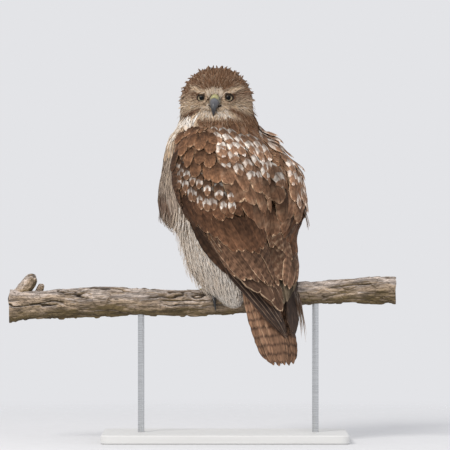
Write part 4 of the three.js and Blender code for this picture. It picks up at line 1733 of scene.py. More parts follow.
LONG_SCAPULAR = VaneFinish("long scapulars", Marks(
    (0.160, 0.084, 0.048), (0.300, 0.195, 0.125), (0.48, 0.33, 0.21), bar_count=2.6,
    bar_share=0.3, bar_strength=0.5, rim_width=0.08, rim_strength=0.9, slender=6.0,
    root_shade=0.42,
))
TERTIAL = VaneFinish("tertials", Marks(
    (0.110, 0.058, 0.034), (0.29, 0.19, 0.12), (0.46, 0.31, 0.195), bar_count=7.0,
    bar_share=0.36, bar_strength=0.75, stagger=0.3, rim_width=0.09, rim_strength=0.85,
    slender=6.0, root_shade=0.7,
))
INNER = VaneFinish("inner wing feathers", Marks(
    (0.105, 0.060, 0.038), (0.058, 0.032, 0.021), (0.46, 0.32, 0.21), bar_count=4.0,
    bar_share=0.5, bar_strength=0.5, stagger=0.4, rim_width=0.13, rim_strength=0.95,
    slender=4.5, root_shade=0.6,
))
RAGGED = VaneFinish("ragged wing edge", Marks(
    (0.200, 0.120, 0.078), (0.58, 0.50, 0.43), (0.54, 0.42, 0.33), bar_count=2.4,
    bar_strength=0.8, rim_width=0.16, rim_strength=0.8, wear=0.6,
))
FRONT_EDGE = VaneFinish("wing edge", Marks(
    (0.100, 0.053, 0.031), (0.036, 0.020, 0.013), (0.26, 0.16, 0.10), bar_count=9.0,
    bar_share=0.45, bar_strength=0.7, rim_width=0.1, rim_strength=0.6, slender=7.0,
    root_shade=0.8,
))
# The far wing's secondary tips: a darker, greyer copy of the secondaries, as painted shade.
OLIVE = VaneFinish("inner wing", Marks(
    (0.105, 0.080, 0.052), (0.045, 0.034, 0.022), (0.22, 0.165, 0.11), bar_count=4.0,
    rim_width=0.08, rim_strength=0.4,
))
PRIMARY = VaneFinish("primaries", Marks(
    (0.042, 0.024, 0.016), (0.018, 0.011, 0.008), (0.20, 0.125, 0.08), (0.26, 0.18, 0.125),
    bar_count=9.0, bar_strength=0.5, stagger=0.3, rim_width=0.07, rim_strength=0.6,
    shaft_width=0.06, slender=12.0, root_shade=1.0,
), gloss=0.5)
FAR_PRIMARY = VaneFinish("far primaries", Marks(
    (0.042, 0.024, 0.016), (0.022, 0.013, 0.009), (0.13, 0.08, 0.05), (0.06, 0.036, 0.024),
    bar_count=9.0, bar_strength=0.5, stagger=0.3, rim_width=0.07, rim_strength=0.5,
    slender=12.0, root_shade=1.0,
), gloss=0.5)
# Tail feathers: root_shade over 1 is painted light on each one's upper part, near the body.
RECTRIX = VaneFinish("tail feathers", Marks(
    (0.146, 0.082, 0.050), (0.052, 0.029, 0.019), (0.26, 0.17, 0.11), (0.10, 0.058, 0.036),
    bar_count=11.5, bar_share=0.3, bar_strength=0.95, stagger=0.25, rim_width=0.06,
    rim_strength=0.5, shaft_width=0.04, wear=0.4, bend=0.6, bar_blur=0.16, slender=12.0,
    root_shade=1.9,
))
# From the lowest layer of the wing to the highest.
ROWS = (
    Row(
        "far_tips", OLIVE, 9.0, ((-18, 214), (-30, 213), (-42, 216), (-53, 221), (-62, 228)),
        ((10, 60), (4, 60)), (-3.0, -0.4, 0.2), FLIGHT, 3.0, 0.6, False,
    ),
    Row(
        "secondaries", SECONDARY, 11.5,
        ((89, 262), (82, 257), (75, 256), (68, 250), (60, 249), (51, 244), (42, 247), (33, 241),
         (24, 245), (14, 240), (4, 245), (-6, 241)),
        ((12, 84), (44, 82)), (-3.0, 0.4, 1.0), FLIGHT, 6.0,
    ),
    Row(
        "outer_secondaries", FRONT_EDGE, 11.0, ((94, 262), (99, 261), (104, 260)),
        ((8, 88), (2, 92)), (-1.0, 3.5, 3.5), FLIGHT, 6.0, 0.4,
    ),
    Row(
        "wing_front", FRONT_EDGE, 9.5,
        ((106, 328), (108, 342), (107, 356), (106, 370), (105, 384), (103, 400), (104, 414)),
        ((-4, 60), (-4, 46)), (-1.5, 2.0, 3.0), FLIGHT, 3.0, 0.5,
    ),
    Row(
        "greater_coverts", GREATER, 11.5,
        ((105, 334), (96, 330), (87, 325), (80, 315), (73, 303), (67, 296), (59, 292), (48, 288),
         (38, 292), (28, 300), (18, 309), (6, 316)),
        ((3, 58), (16, 62)), (-3.0, 0.0, 1.4),
    ),
    Row(
        "inner_coverts", GREATER, 11.0,
        ((92, 349), (84, 347), (76, 343), (67, 338), (59, 341), (50, 346), (40, 338), (30, 336),
         (18, 334), (7, 332)),
        ((-1, 44), (8, 50)), (-2.5, 0.6, 2.0),
    ),
    Row(
        "median_coverts", MEDIAN, 8.5,
        ((99, 389), (96, 398), (93, 384), (90, 375), (86, 367), (82, 361), (77, 354), (71, 351),
         (64, 349), (57, 353)),
        ((-4, 36), (-5, 40)), (-2.0, 1.0, 2.6),
    ),
    Row(
        "median_coverts_upper", MEDIAN, 8.0,
        ((98, 418), (94, 409), (89, 400), (84, 391), (78, 382), (71, 375), (63, 372), (55, 370)),
        ((-4, 30), (-4, 32)), (-1.6, 1.4, 3.0),
    ),
    Row(
        "lesser_coverts", LESSER, 10.5,
        ((101, 446), (94, 434), (86, 424), (77, 414), (67, 404), (58, 396)),
        ((-4, 36), (-3, 38)), (-2.0, 1.0, 3.2), BROAD, stray=1.8,
    ),
    Row(
        "shoulder_coverts", LESSER, 11.0,
        ((105, 459), (95, 450), (84, 441), (73, 432), (63, 424), (55, 418)),
        ((-4, 28), (-3, 34)), (-3.0, 0.8, 3.2), BROAD, stray=2.2,
    ),
    Row(
        "mantle_feathers", LESSER, 10.5,
        ((91, 469), (80, 462), (67, 455), (56, 450), (61, 439), (72, 445), (82, 450)),
        ((-4, 24), (-3, 32)), (-3.0, 0.6, 2.6), BROAD, stray=1.2,
    ),
    Row(
        "tertials", TERTIAL, 14.0,
        ((-6, 252), (-20, 249), (-36, 249), (-52, 252), (-62, 264), (-50, 281), (-28, 296),
         (-8, 300), (-44, 312), (-20, 322)),
        ((36, 72), (40, 60)), (-1.0, 1.6, 2.8), FLIGHT, 4.0, 0.5, False,
    ),
    Row(
        "scapulars_0", LONG_SCAPULAR, 16.0,
        ((26, 330), (10, 322), (-8, 318), (-24, 322), (-38, 334)),
        ((8, 60), (12, 62)), (-1.0, 2.4, 4.2), BROAD, stray=0.8, both=False,
    ),
    Row(
        "scapulars_1", LONG_SCAPULAR, 16.5,
        ((46, 372), (34, 363), (20, 356), (3, 349), (-14, 340)),
        ((4, 52), (7, 62)), (-2.0, 1.8, 4.0), BROAD, 6.0,
    ),
    Row(
        "scapulars_2", LONG_SCAPULAR, 15.0,
        ((49, 394), (37, 385), (24, 380), (9, 373), (-7, 366)),
        ((3, 46), (6, 52)), (-2.0, 2.0, 4.4), BROAD, 6.0,
    ),
    Row(
        "scapulars_3", SCAPULAR, 10.5,
        ((50, 411), (40, 406), (30, 402), (20, 398), (10, 395), (0, 392), (-9, 388)),
        ((2, 40), (5, 44)), (-1.8, 1.8, 3.6), stray=1.3,
    ),
    Row(
        "scapulars_4", SCAPULAR, 10.5,
        ((50, 427), (40, 423), (29, 419), (18, 415), (7, 411), (-4, 408)),
        ((2, 38), (4, 42)), (-1.8, 1.8, 3.8), stray=1.3,
    ),
    Row(
        "scapulars_5", SCAPULAR, 10.5,
        ((51, 442), (41, 438), (30, 435), (19, 431), (8, 428), (-3, 424)),
        ((2, 38), (3, 42)), (-1.8, 1.8, 3.8), stray=1.3,
    ),
    Row(
        "scapulars_6", SCAPULAR, 10.0,
        ((50, 457), (40, 453), (29, 450), (18, 447), (7, 444), (-5, 440)),
        ((1, 34), (2, 38)), (-1.8, 1.6, 3.6), stray=1.3,
    ),
    Row(
        "ragged_edge", RAGGED, 7.5,
        ((-30, 362), (-42, 354), (-50, 355), (-44, 374), (-48, 386), (-41, 400), (-49, 408),
         (-45, 416), (-38, 432), (-46, 448), (-42, 456)),
        ((9, 54), (10, 26)), (-1.0, 4.0, 9.0), roll=-6.0, stray=1.4, both=False,
    ),
    Row(
        "stray_feather", RAGGED, 4.4, ((-54, 331), (-51, 336), (-49, 334)),
        ((6, 30), (4, 28)), (2.0, 10.0, 19.0), roll=30.0, stray=0.3, both=False,
    ),
)


@dataclass(frozen=True)
class Fan:
    """Long feathers side by side along a line in the body's frame.

    line has rows of x, y, z and half the fan's width. twist turns the fan about the vertical
    in degrees. spans are the shares of the line at which each feather starts and ends, and
    layers each one's height in the stack, both from the fan's -X side to its +X side. arch is
    how far the fan's sides fall back, and skew how much wider a vane is on one side.
    """

    name: str
    slot: Slot
    node: str
    finish: VaneFinish
    twist: float
    half: float
    line: Rows
    spans: Rows
    layers: tuple[float, ...]
    cut: Cut = FLIGHT
    arch: float = 0.25
    skew: float = 0.06

    def build(self, seed: int) -> None:
        """Makes the fan's piece in place of its CAD node.

        Args:
            seed: The seed of its chance.
        """
        rng = np.random.default_rng(seed)
        spans = np.array(self.spans)
        count = len(spans)
        place = np.linspace(-1, 1, count)
        way = spans[:, :1] + (spans[:, 1:] - spans[:, :1]) * self.cut.ways()[None]
        rows = smooth_rows(self.line, np.clip(way, 0, 1))
        turn = math.radians(self.twist)
        side = BODY.turn(np.array([math.cos(turn), math.sin(turn), 0.0]))
        out = BODY.turn(np.array([math.sin(turn), -math.cos(turn), 0.0]))
        room = np.maximum(rows[..., 3] - self.half * 0.9, 0)
        across = room * place[:, None] * (0.9 + 0.1 * way)
        depth = np.array(self.layers)[:, None] - self.arch * room * place[:, None] ** 2 * 0.2
        middle = BODY.out(rows[..., :3])
        past = np.maximum(way - 1, 0)[..., None]
        middle = middle + unit(middle[:, -1:] - middle[:, -6:-5]) * past * 120
        spine = middle + side * across[..., None] + out * depth[..., None]
        normal = np.broadcast_to(out, spine.shape) + side * 0.18 * place[:, None, None]
        halves = self.half * rng.uniform(0.94, 1.06, count)
        rolls = rng.normal(0, 2.0, count) - 4 * np.sign(place)
        tones = rng.random(count)
        plumes = Plumes(
            self.cut, spine, unit(normal), halves, rolls, tones, self.skew, place=way
        )
        add_piece(plumes.patch(rng), self.name, self.finish.material(), self.slot, self.node)


FANS = (
    Fan(
        "tail_feathers", Slot.TAIL, "tail", RECTRIX, -22, 11.5,
        ((1, -47, 292, 24), (4, -58, 262, 29), (5, -65, 240, 35), (7, -72, 217, 38),
         (8, -78, 198, 38.5), (9, -83, 180, 38.5), (10, -89, 160, 38), (10.2, -95, 140, 37.5),
         (10, -101, 120, 34)),
        ((0.1, 0.945), (0.08, 0.98), (0.06, 1.0), (0.04, 0.975), (0.02, 1.01), (0.0, 0.985),
         (0.0, 1.0), (0.02, 0.97), (0.04, 1.005), (0.06, 0.98), (0.08, 0.99), (0.1, 0.95)),
        (-2.6, -1.9, -1.2, -0.5, 0.2, 0.9, 1.6, 0.9, 0.2, -0.5, -1.2, -1.9),
    ),
    Fan(
        "inner_feathers", Slot.WING, "wing_left", INNER, -9, 13.0,
        ((-50, -67, 290, 46), (-35, -81, 264, 40), (-23, -91.5, 243, 33), (-9, -97.5, 223, 26),
         (8, -99.5, 203, 15)),
        ((0.0, 0.62), (0.0, 0.8), (0.0, 1.0), (0.0, 0.84)), (2.8, 2.4, 1.2, 0.0), COVERT,
    ),
    Fan(
        "primaries_left", Slot.PRIMARIES, "wing_tip_left", PRIMARY, -14, 9.5,
        ((-62, -52, 296, 16), (-54, -62, 262, 22), (-36, -76, 236, 21), (-14, -87, 209, 20),
         (5, -93, 186, 17), (24, -98, 160, 9)),
        ((0.02, 0.95), (0.0, 1.0), (0.0, 0.96), (0.0, 0.8)), (-2.2, -0.8, 0.6, 2.0), skew=-0.45,
    ),
    Fan(
        "primaries_right", Slot.PRIMARIES, "wing_tip_right", FAR_PRIMARY, -14, 10.0,
        ((68, -60, 296, 16), (62, -72, 262, 20), (54, -83, 236, 20), (44, -93, 209, 20),
         (37, -99, 186, 18), (32, -104, 160, 12)),
        ((0.0, 0.7), (0.0, 0.92), (0.0, 1.0), (0.02, 0.95)), (2.8, 1.4, 0.0, -1.4), skew=0.5,
    ),
    Fan(
        "torn_feather", Slot.WING, "wing_tip_right", RAGGED, -34, 1.5,
        ((49, -96, 236, 5), (53, -99, 208, 5), (56, -102, 182, 6), (57, -103, 160, 8)),
        ((0.0, 0.7), (0.05, 1.0), (0.0, 0.86), (0.1, 1.05), (0.0, 0.92)),
        (0.0, 1.0, -1.0, 0.6, -0.4), WISP,
    ),
)


def ball(
    centre: Array, axes: Array, radii: Sequence[float], stations: int, around: int
) -> tuple[Array, Array, Array]:
    """A closed ball's points.

    Args:
        centre: Its centre.
        axes: Its three directions; the first is the pole.
        radii: Its radius along each.
        stations: Rings from pole to pole.
        around: Points to a ring.

    Returns:
        The points (1, stations, around, 3), and the angles from the pole and round it.
    """
    polar = np.linspace(0.02, math.pi - 0.02, stations)[:, None]
    polar, turn = np.broadcast_arrays(polar, circle(around)[None])
    parts = (np.cos(polar), np.sin(polar) * np.cos(turn), np.sin(polar) * np.sin(turn))
    points = centre + sum(part[..., None] * axis * r for part, axis, r in zip(parts, axes, radii))
    return points[None], polar, turn


def round_tube(path: Array, radius: Array, around: int) -> Array:
    """The points of a tube along a path.

    Args:
        path: Its middle line.
        radius: Its radius at each point of the line.
        around: Points to a ring.

    Returns:
        The points (1, stations, around, 3).
    """
    ahead = unit(np.gradient(path, axis=0))
    side = unit(np.cross(ahead, np.array([0.03, 0.02, 1.0])))
    up = np.cross(side, ahead)
    turn = circle(around)[None, :, None]
    ring = side[:, None] * np.cos(turn) + up[:, None] * np.sin(turn)
    return (path[:, None] + ring * radius[:, None, None])[None]


def rounded_ends(count: int, share: float) -> Array:
    """Closes a tube roundly at both ends.

    Args:
        count: How many stations it has.
        share: How much of its length each end takes up.

    Returns:
        Factors for its radius.
    """
    way = np.linspace(0, 1, count)
    gap = np.clip(np.minimum(way, 1 - way) / share, 0, 1)
    return np.sqrt(np.maximum(1 - (1 - gap) ** 2, 4e-4))


@dataclass(frozen=True)
class Face:
    """Eyes with their lids, and the bill with its cere and gape.

    gaze is how far in degrees an eye looks outward and iris_angle half the iris's angle.
    opening is half the lids' width and height. The bill's rows have places along and up the
    head and half widths and heights, and the cere takes up cere_share of the upper bill.
    """

    gaze: float = 2.0
    iris_angle: float = 34.0
    lid: float = 0.7
    opening: Span = (5.7, 5.2)
    upper_rows: Rows = (
        (35, -2.5, 8.4, 9.0), (43, -4, 8.0, 9.0), (49.5, -8, 7.2, 7.9), (55, -13, 5.6, 6.4),
        (58.2, -19, 3.6, 4.4), (58.8, -25, 1.8, 2.3), (57.8, -29.3, 0.4, 0.5),
    )
    lower_rows: Rows = (
        (35, -15, 7.8, 3.6), (45, -17.4, 5.8, 3.2), (52, -19.6, 3.8, 2.4), (56, -21.2, 1.2, 1.0),
    )
    gape_rows: Rows = ((5.6, 49, -14.2), (7.4, 45, -12.6), (10.0, 40.5, -12.0), (12.2, 36, -12.2))
    cere_share: float = 0.26

    def build(self) -> None:
        """Makes every part of the face."""
        # One dark material for lids, gapes and nostrils, which is partly painted shade.
        lid = ScaleFinish("lid", (0.026, 0.018, 0.013), (0.012, 0.009, 0.007), 900, 0.15, gloss=0.1)
        dark = lid.material()
        for side, name in ((1, "right"), (-1, "left")):
            self._eye(side, name)
            add_piece(self._lid(side), f"lid_{name}", dark, Slot.CROWN)
            add_piece(self._gape(side), f"gape_{name}", dark, Slot.BILL)
        horn = HornFinish("bill horn", (0.105, 0.106, 0.118), (0.014, 0.014, 0.017), 0.35)
        horny = horn.material()
        upper = self._sweep(self.upper_rows, self.cere_share - 0.03, 1.0, 30, 0.0)
        add_piece(upper, "bill_tip", horny, Slot.BILL, "bill_upper")
        lower = self._sweep(self.lower_rows, 0.0, 1.0, 24, 0.0)
        add_piece(lower, "bill_under", horny, Slot.BILL, "bill_lower")
        wax = ScaleFinish("cere wax", (0.46, 0.44, 0.20), (0.25, 0.22, 0.12), 700, 0.1, 0.38)
        cere = self._sweep(self.upper_rows, 0.0, self.cere_share, 22, 0.55)
        add_piece(cere, "cere_skin", wax.material(), Slot.CERE, "cere")
        nostrils = Patch.joined([self._nostril(side) for side in (-1, 1)])
        add_piece(nostrils, "nostrils", dark, Slot.CERE)

    def _eye(self, side: int, name: str) -> None:
        """Makes one eye in place of its CAD node.

        Args:
            side: The sign of its x.
            name: Left or right.
        """
        turn = math.radians(self.gaze) * side
        pole = (math.sin(turn), math.cos(turn), 0.0)
        level = (math.cos(turn), -math.sin(turn), 0.0)
        centre = np.array([side * EYE_SPREAD, EYE_DEPTH, 0.0])
        axes = np.array([pole, level, (0.0, 0.0, 1.0)])
        points, polar, around = ball(centre, axes, (EYE_RADIUS,) * 3, 44, 48)
        bulge = 1 + 0.05 * bell(polar, 0.0, 0.55)
        points = centre + (points - centre) * bulge[None, ..., None]
        ray = (polar / math.radians(self.iris_angle))[None]
        wheel = np.stack([side * np.cos(around), np.sin(around), 0 * around], -1)[None]
        patch = Patch.tubes(HEAD.out(points), {"Ray": ray, "Wheel": wheel})
        add_piece(patch, f"eyeball_{name}", EyeFinish().material(), Slot.IRIS, f"eye_{name}")

    def _lid(self, side: int) -> Patch:
        """The rim of the lids round one eye, the upper lid drawn down; its dark is partly painted
        shade.

        Args:
            side: The sign of its x.

        Returns:
            The patch.
        """
        count = 64
        turn = circle(count)[:, None]
        wide, high = self.opening
        spread = np.array([1.0, 1.02, 1.08, 1.15, 1.23, 1.3, 1.34, 1.25, 1.15, 1.05])[None]
        raised = np.array([-0.3, 0.35, 0.75, 0.8, 0.7, 0.4, -0.4, -0.6, -0.6, -0.6])[None]
        x = EYE_OPENING[0] + wide * np.cos(turn) * spread
        z = EYE_OPENING[1] + high * np.sin(turn) * spread
        reach = EYE_RADIUS + 0.25 + raised * self.lid * (1 + 0.5 * np.sin(turn))
        gap = np.hypot(x - EYE_SPREAD, z)
        y = EYE_DEPTH + np.sqrt(np.maximum(reach**2 - gap**2, 2.0))
        points = HEAD.out(np.stack([side * x, y, z], -1)).reshape(-1, 3)
        here = np.arange(len(points)).reshape(count, -1)
        ahead = np.roll(here, -1, 0)
        quads = np.stack([here, np.roll(here, -1, 1), np.roll(ahead, -1, 1), ahead], -1)
        patch = Patch(points, quads.reshape(-1, 4), NO_TRIS)
        patch.face_out()
        return patch

    def _gape(self, side: int) -> Patch:
        """The fleshy corner of the mouth, coloured dark as painted shade of the mouth's line.

        Args:
            side: The sign of its x.

        Returns:
            The patch.
        """
        count = 20
        path = smooth_rows(self.gape_rows, np.linspace(0, 1, count)) * np.array([side, 1, 1])
        return Patch.tubes(HEAD.out(round_tube(path, 1.3 * rounded_ends(count, 0.3), 10)))

    def _sweep(self, rows: Rows, start: float, end: float, stations: int, swell: float) -> Patch:
        """A part of the bill, narrowed to its upper ridge.

        Args:
            rows: The bill's rows.
            start: The share of the rows at which it starts.
            end: The share at which it ends.
            stations: Its stations.
            swell: How far it swells out.

        Returns:
            The patch.
        """
        way = np.linspace(start, end, stations)
        y, z, wide, high = np.moveaxis(smooth_rows(rows, way), -1, 0)
        slope = unit(np.stack([np.gradient(y), np.gradient(z)], -1))
        turn = circle(36)[None]
        share = (way - start) / (end - start)
        puff = swell * np.sin(np.pi * np.clip(share, 0, 1)) ** 0.5
        round_end = rounded_ends(stations, 0.12)[:, None]
        across = (wide + puff)[:, None] * np.sin(turn) * (1 - 0.16 * np.cos(turn)) * round_end
        above = (high + puff)[:, None] * np.cos(turn) * round_end
        forward, upward = y[:, None] - slope[:, 1:] * above, z[:, None] + slope[:, :1] * above
        points = np.stack([across, forward, upward], -1)
        values = {"Along": share[:, None], "Flank": 0.5 - 0.5 * np.cos(turn)}
        return Patch.tubes(HEAD.out(points[None]), values)

    @staticmethod
    def _nostril(side: int) -> Patch:
        """A nostril: a small dark ball in the cere, painted shade for its hollow.

        Args:
            side: The sign of its x.

        Returns:
            The patch.
        """
        axes = unit(np.array([[0.0, 0.5, 1.0], [0.0, 1.0, -0.5], [1.0, 0.0, 0.0]]))
        centre = np.array([side * 7.0, 45.5, -3.4])
        return Patch.tubes(HEAD.out(ball(centre, axes, (1.7, 1.05, 0.8), 10, 12)[0]))


def perch_at(x: Array) -> tuple[Array, Array]:
    """The perch's middle height and its radius at places along it."""
    along, middle, radius = np.transpose(PERCH_ROWS)
    return np.interp(x, along, middle), np.interp(x, along, radius)


def on_perch(start: float, run: Array, bearing: float, lift: Array) -> Array:
    """Places over the perch.

    Args:
        start: Where along the perch the way sets out, from the perch's top.
        run: How far it has gone.
        bearing: Its bearing in degrees from straight back over the perch.
        lift: Its height over the bark.

    Returns:
        The points.
    """
    along = start + run * math.sin(math.radians(bearing))
    middle, radius = perch_at(along)
    turn = run * math.cos(math.radians(bearing)) / (radius + lift)
    reach = 1.03 * radius + lift
    return np.stack([along, reach * np.sin(turn), middle + reach * np.cos(turn)], -1)


@dataclass(frozen=True)
class Toe:
    """One toe: its bearing on a left foot in degrees, and its sizes."""

    name: str
    bearing: float
    length: float
    radius: float
    claw: float


TOES = (
    Toe("inner", 24, 33, 5.2, 22),
    Toe("middle", 0, 42, 5.0, 18),
    Toe("outer", -34, 34, 4.6, 15),
    Toe("hind", 180, 26, 5.4, 24),
)


@dataclass(frozen=True)
class Leg:
    """A bare shank and the foot that grips the perch.

    side is 1 for the right leg, x its place along the perch and lean how far the shank leans.
    turn is the foot's turn in degrees, shank the shank's radius, rise its height and sunk how
    deep a claw is set in its toe.
    """

    name: str
    side: int
    x: float
    lean: Span
    turn: float = -8.0
    shank: float = 6.2
    rise: float = 34.0
    sunk: float = 3.0

    def build(self, scales: Material, horn: Material) -> None:
        """Makes the shank, the foot and the claws.

        Args:
            scales: The material of its skin.
            horn: The material of its claws.
        """
        foot = Patch.joined([*(self._toe(toe) for toe in TOES), self._sole()])
        add_piece(foot, f"toes_{self.name}", scales, Slot.SCALE, f"foot_{self.name}")
        for toe in TOES:
            name = f"{self.name}_{toe.name}"
            add_piece(self._claw(toe), f"talon_{name}", horn, Slot.CLAW, f"claw_{name}")
        shank = self._shank()
        add_piece(shank, f"leg_{self.name}", scales, Slot.SCALE, f"shank_{self.name}")

    def _path(self, toe: Toe, start: float, end: float, lifts: Span, count: int) -> Array:
        """The line of a toe or claw over the bark.

        Args:
            toe: The toe.
            start: How far from the foot's middle it starts.
            end: How far from there it ends.
            lifts: Its height over the bark at both ends.
            count: Its points.

        Returns:
            The points.
        """
        run, lift = np.linspace(start, end, count), np.linspace(*lifts, count)
        return on_perch(self.x, run, toe.bearing * -self.side + self.turn, lift)

    def _toe(self, toe: Toe) -> Patch:
        """A toe with pads below and broad scales over its top.

        Args:
            toe: The toe.

        Returns:
            The patch.
        """
        count, scale_length, perch_height = 56, 3.1, 217.0
        path = self._path(toe, 0, toe.length, (toe.radius * 1.12, toe.radius * 0.9), count)
        way, ends = np.linspace(0, 1, count), rounded_ends(count, 0.1)
        radius = toe.radius * (1.1 - 0.28 * way) * ends
        radius = radius * (1 + 0.07 * np.cos(way * toe.length * 0.85))
        grid = round_tube(path, radius, 20)
        away = path - np.stack([path[:, 0], 0 * way, np.full(count, perch_height)], -1)
        outward = unit(grid - path[None, :, None])
        top = (outward * unit(away)[None, :, None]).sum(-1)
        step = np.mod(way * toe.length / scale_length, 1.0)[None, :, None]
        ridge = 0.35 * smooth(0.3, 0.8, top) * (step - 0.5) * ends[None, :, None]
        return Patch.tubes(grid + outward * ridge[..., None])

    def _sole(self) -> Patch:
        """The pad where the toes meet."""
        centre = on_perch(self.x, np.array(0.0), 0.0, np.array(6.0))
        return Patch.tubes(ball(centre, np.eye(3)[[2, 0, 1]], (7.2, 9.4, 10.2), 24, 28)[0])

    def _claw(self, toe: Toe) -> Patch:
        """A claw, round on top and sunk in its toe's end.

        Args:
            toe: The toe.

        Returns:
            The patch.
        """
        count = 30
        start = toe.length - self.sunk
        path = self._path(toe, start, start + toe.claw, (toe.radius * 0.9, 1.3), count)
        way = np.linspace(0, 1, count)
        radius = toe.radius * 0.64 * (1 - way**1.4) + 0.35
        grid = round_tube(path, radius * np.minimum(1, rounded_ends(count, 0.06)), 16)
        return Patch.tubes(grid, {"Along": way[:, None]})

    def _shank(self) -> Patch:
        """The shank, with scutes down its front.

        Returns:
            The patch.
        """
        count = 40
        way, turn = np.linspace(0, 1, count), circle(20)
        top = on_perch(self.x, np.array(0.0), 0.0, np.array(self.shank + 1))
        path = top + way[:, None] * np.array([*self.lean, self.rise])
        scutes = 1 + 0.05 * (np.mod(way * 11, 1.0) - 0.5)
        around = np.stack([np.cos(turn), np.sin(turn), 0 * turn], -1)
        radius = self.shank * (1 + 0.15 * way) * scutes * rounded_ends(count, 0.06)
        return Patch.tubes((path[:, None] + around * radius[:, None, None])[None])


@dataclass(frozen=True)
class Perch:
    """The cut length of dead branch, its broken stub and its small nub."""

    stations: int = 560
    around: int = 110
    crack_depth: float = 3.2
    left: float = -334.0
    right: float = 264.0

    def build(self) -> None:
        """Makes the three pieces of wood."""
        bark = BarkFinish().material()
        add_piece(self._branch(), "branch_bark", bark, Slot.BARK, "perch_branch")
        stub = self._twig((-320, 0, 222), (-296, -4, 256), 9.6, 5.0, 11)
        add_piece(stub, "stub_bark", bark, Slot.BARK, "perch_stub")
        nub = self._twig((-289, 2, 230), (-284, 1, 243), 4.6, 2.0, 12)
        add_piece(nub, "nub_bark", bark, Slot.BARK, "perch_nub")

    @staticmethod
    def _measured(x: Array, turn: Array) -> tuple[Array, Array]:
        """The CAD branch's middle height and its radius, evened out.

        Args:
            x: Places along it.
            turn: Angles round it from the camera's side over the top.

        Returns:
            The middle's height at each place, and the radius at each place and angle.
        """
        middle, radius = perch_at(x)
        far = x[:, None]
        lump = 0.05 * np.sin(3 * turn + far / 41) + 0.035 * np.sin(5 * turn - far / 23)
        kernel = np.hanning(31)
        kernel /= kernel.sum()
        soft = np.convolve(np.pad(middle, len(kernel) // 2, "edge"), kernel, "valid")
        return soft, radius[:, None] * (1 + lump)

    def _branch(self) -> Patch:
        """The branch with lumps, long cracks and flakes of bark.

        Returns:
            The patch.
        """
        x = np.linspace(self.left, self.right, self.stations)
        turn = circle(self.around)[None]
        middle, radius = self._measured(x, turn)
        far = np.broadcast_to(x[:, None], radius.shape)
        place = np.stack([far, 20 * np.cos(turn) + 0 * far, 20 * np.sin(turn) + 0 * far], -1)

        def noise(long: float, wide: float, seed: int) -> Array:
            """Lumps of a length along the branch and a width round it."""
            return lumps(place / np.array([long, wide, wide]), seed)

        radius = radius + 1.5 * noise(48, 16, 1)
        radius += 1.0 * noise(26, 7, 2)
        radius += 0.55 * noise(9, 3, 3)
        line = np.abs(noise(95, 8, 4) + 0.25 * noise(14, 5, 5))
        crack = (1 - smooth(0.0, 0.12, line)) * smooth(-0.25, 0.2, noise(60, 12, 6))
        small = 1 - smooth(0.0, 0.12, np.abs(noise(50, 3.4, 7)))
        small = small * smooth(-0.1, 0.3, noise(30, 9, 8))
        flake = smooth(0.0, 0.09, noise(24, 9, 9)) * smooth(-300, -260, far)
        radius += 1.1 * flake - self.crack_depth * crack - 0.9 * small - 0.5
        below = bell(turn, 1.5 * math.pi, 0.5)
        radius += 2.2 * below * smooth(0.0, 0.5, noise(11, 5, 13))
        hollow = np.clip(crack * 0.95 + small * 0.5, 0, 1)
        along = far + 1.5 * noise(9, 9, 10) * (np.abs(far) > self.right - 4)
        height = middle[:, None] + radius * np.sin(turn)
        points = np.stack([along, -radius * np.cos(turn), height], -1)
        return Patch.tubes(points[None], {"Hollow": hollow[None]})

    @staticmethod
    def _twig(
        foot: Sequence[float], tip: Sequence[float], radius: float, ragged: float, seed: int
    ) -> Patch:
        """A broken twig with a splintered end.

        Args:
            foot: Where its middle leaves the branch.
            tip: The middle of its broken end.
            radius: Its radius.
            ragged: How long its splinters are.
            seed: The seed of its lumps.

        Returns:
            The patch.
        """
        way = np.linspace(0, 1, 40)[:, None]
        turn = circle(44)[None, :, None]
        ahead = unit(np.subtract(tip, foot))
        side = unit(np.cross(ahead, np.array([0.0, 1.0, 0.0])))
        ring = side * np.cos(turn) + np.cross(side, ahead) * np.sin(turn)
        place = ring * 3 + ahead * way[..., None] * 3
        lump = 1 + 0.12 * lumps(place, seed) + 0.06 * lumps(place * 3, seed + 1)
        size = radius * (1.35 - 0.35 * way) * lump
        size = size * (0.03 + 0.97 * np.clip((1 - way) / 0.1, 0.0, 1) ** 0.5)
        splinter = ragged * lumps(ring * 2.6, seed + 2) * smooth(0.6, 1, way)
        reach = np.linalg.norm(np.subtract(tip, foot))
        middle = np.asarray(foot, float) + ahead * way[..., None] * reach
        points = middle + ring * size[..., None] + ahead * splinter[..., None]
        hollow = 0.8 * smooth(0.93, 0.99, way) * smooth(0.4, -0.4, lumps(place * 2, seed + 3))
        return Patch.tubes(points[None], {"Hollow": hollow})


@dataclass(frozen=True)
class Stand:
    """The plain display stand: the CAD's own board and rods, dressed."""

    def dress(self) -> None:
        """Gives the CAD nodes their finishes."""
        board = BoardFinish().material()
        steel = SteelFinish().material()
        finishes = {"stand_base": board, "stand_rod_left": steel, "stand_rod_right": steel}
        for name, finish in finishes.items():
            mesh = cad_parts[name].data
            mesh.materials.clear()
            mesh.materials.append(finish)
            LOG.info("%s: dressed", name)


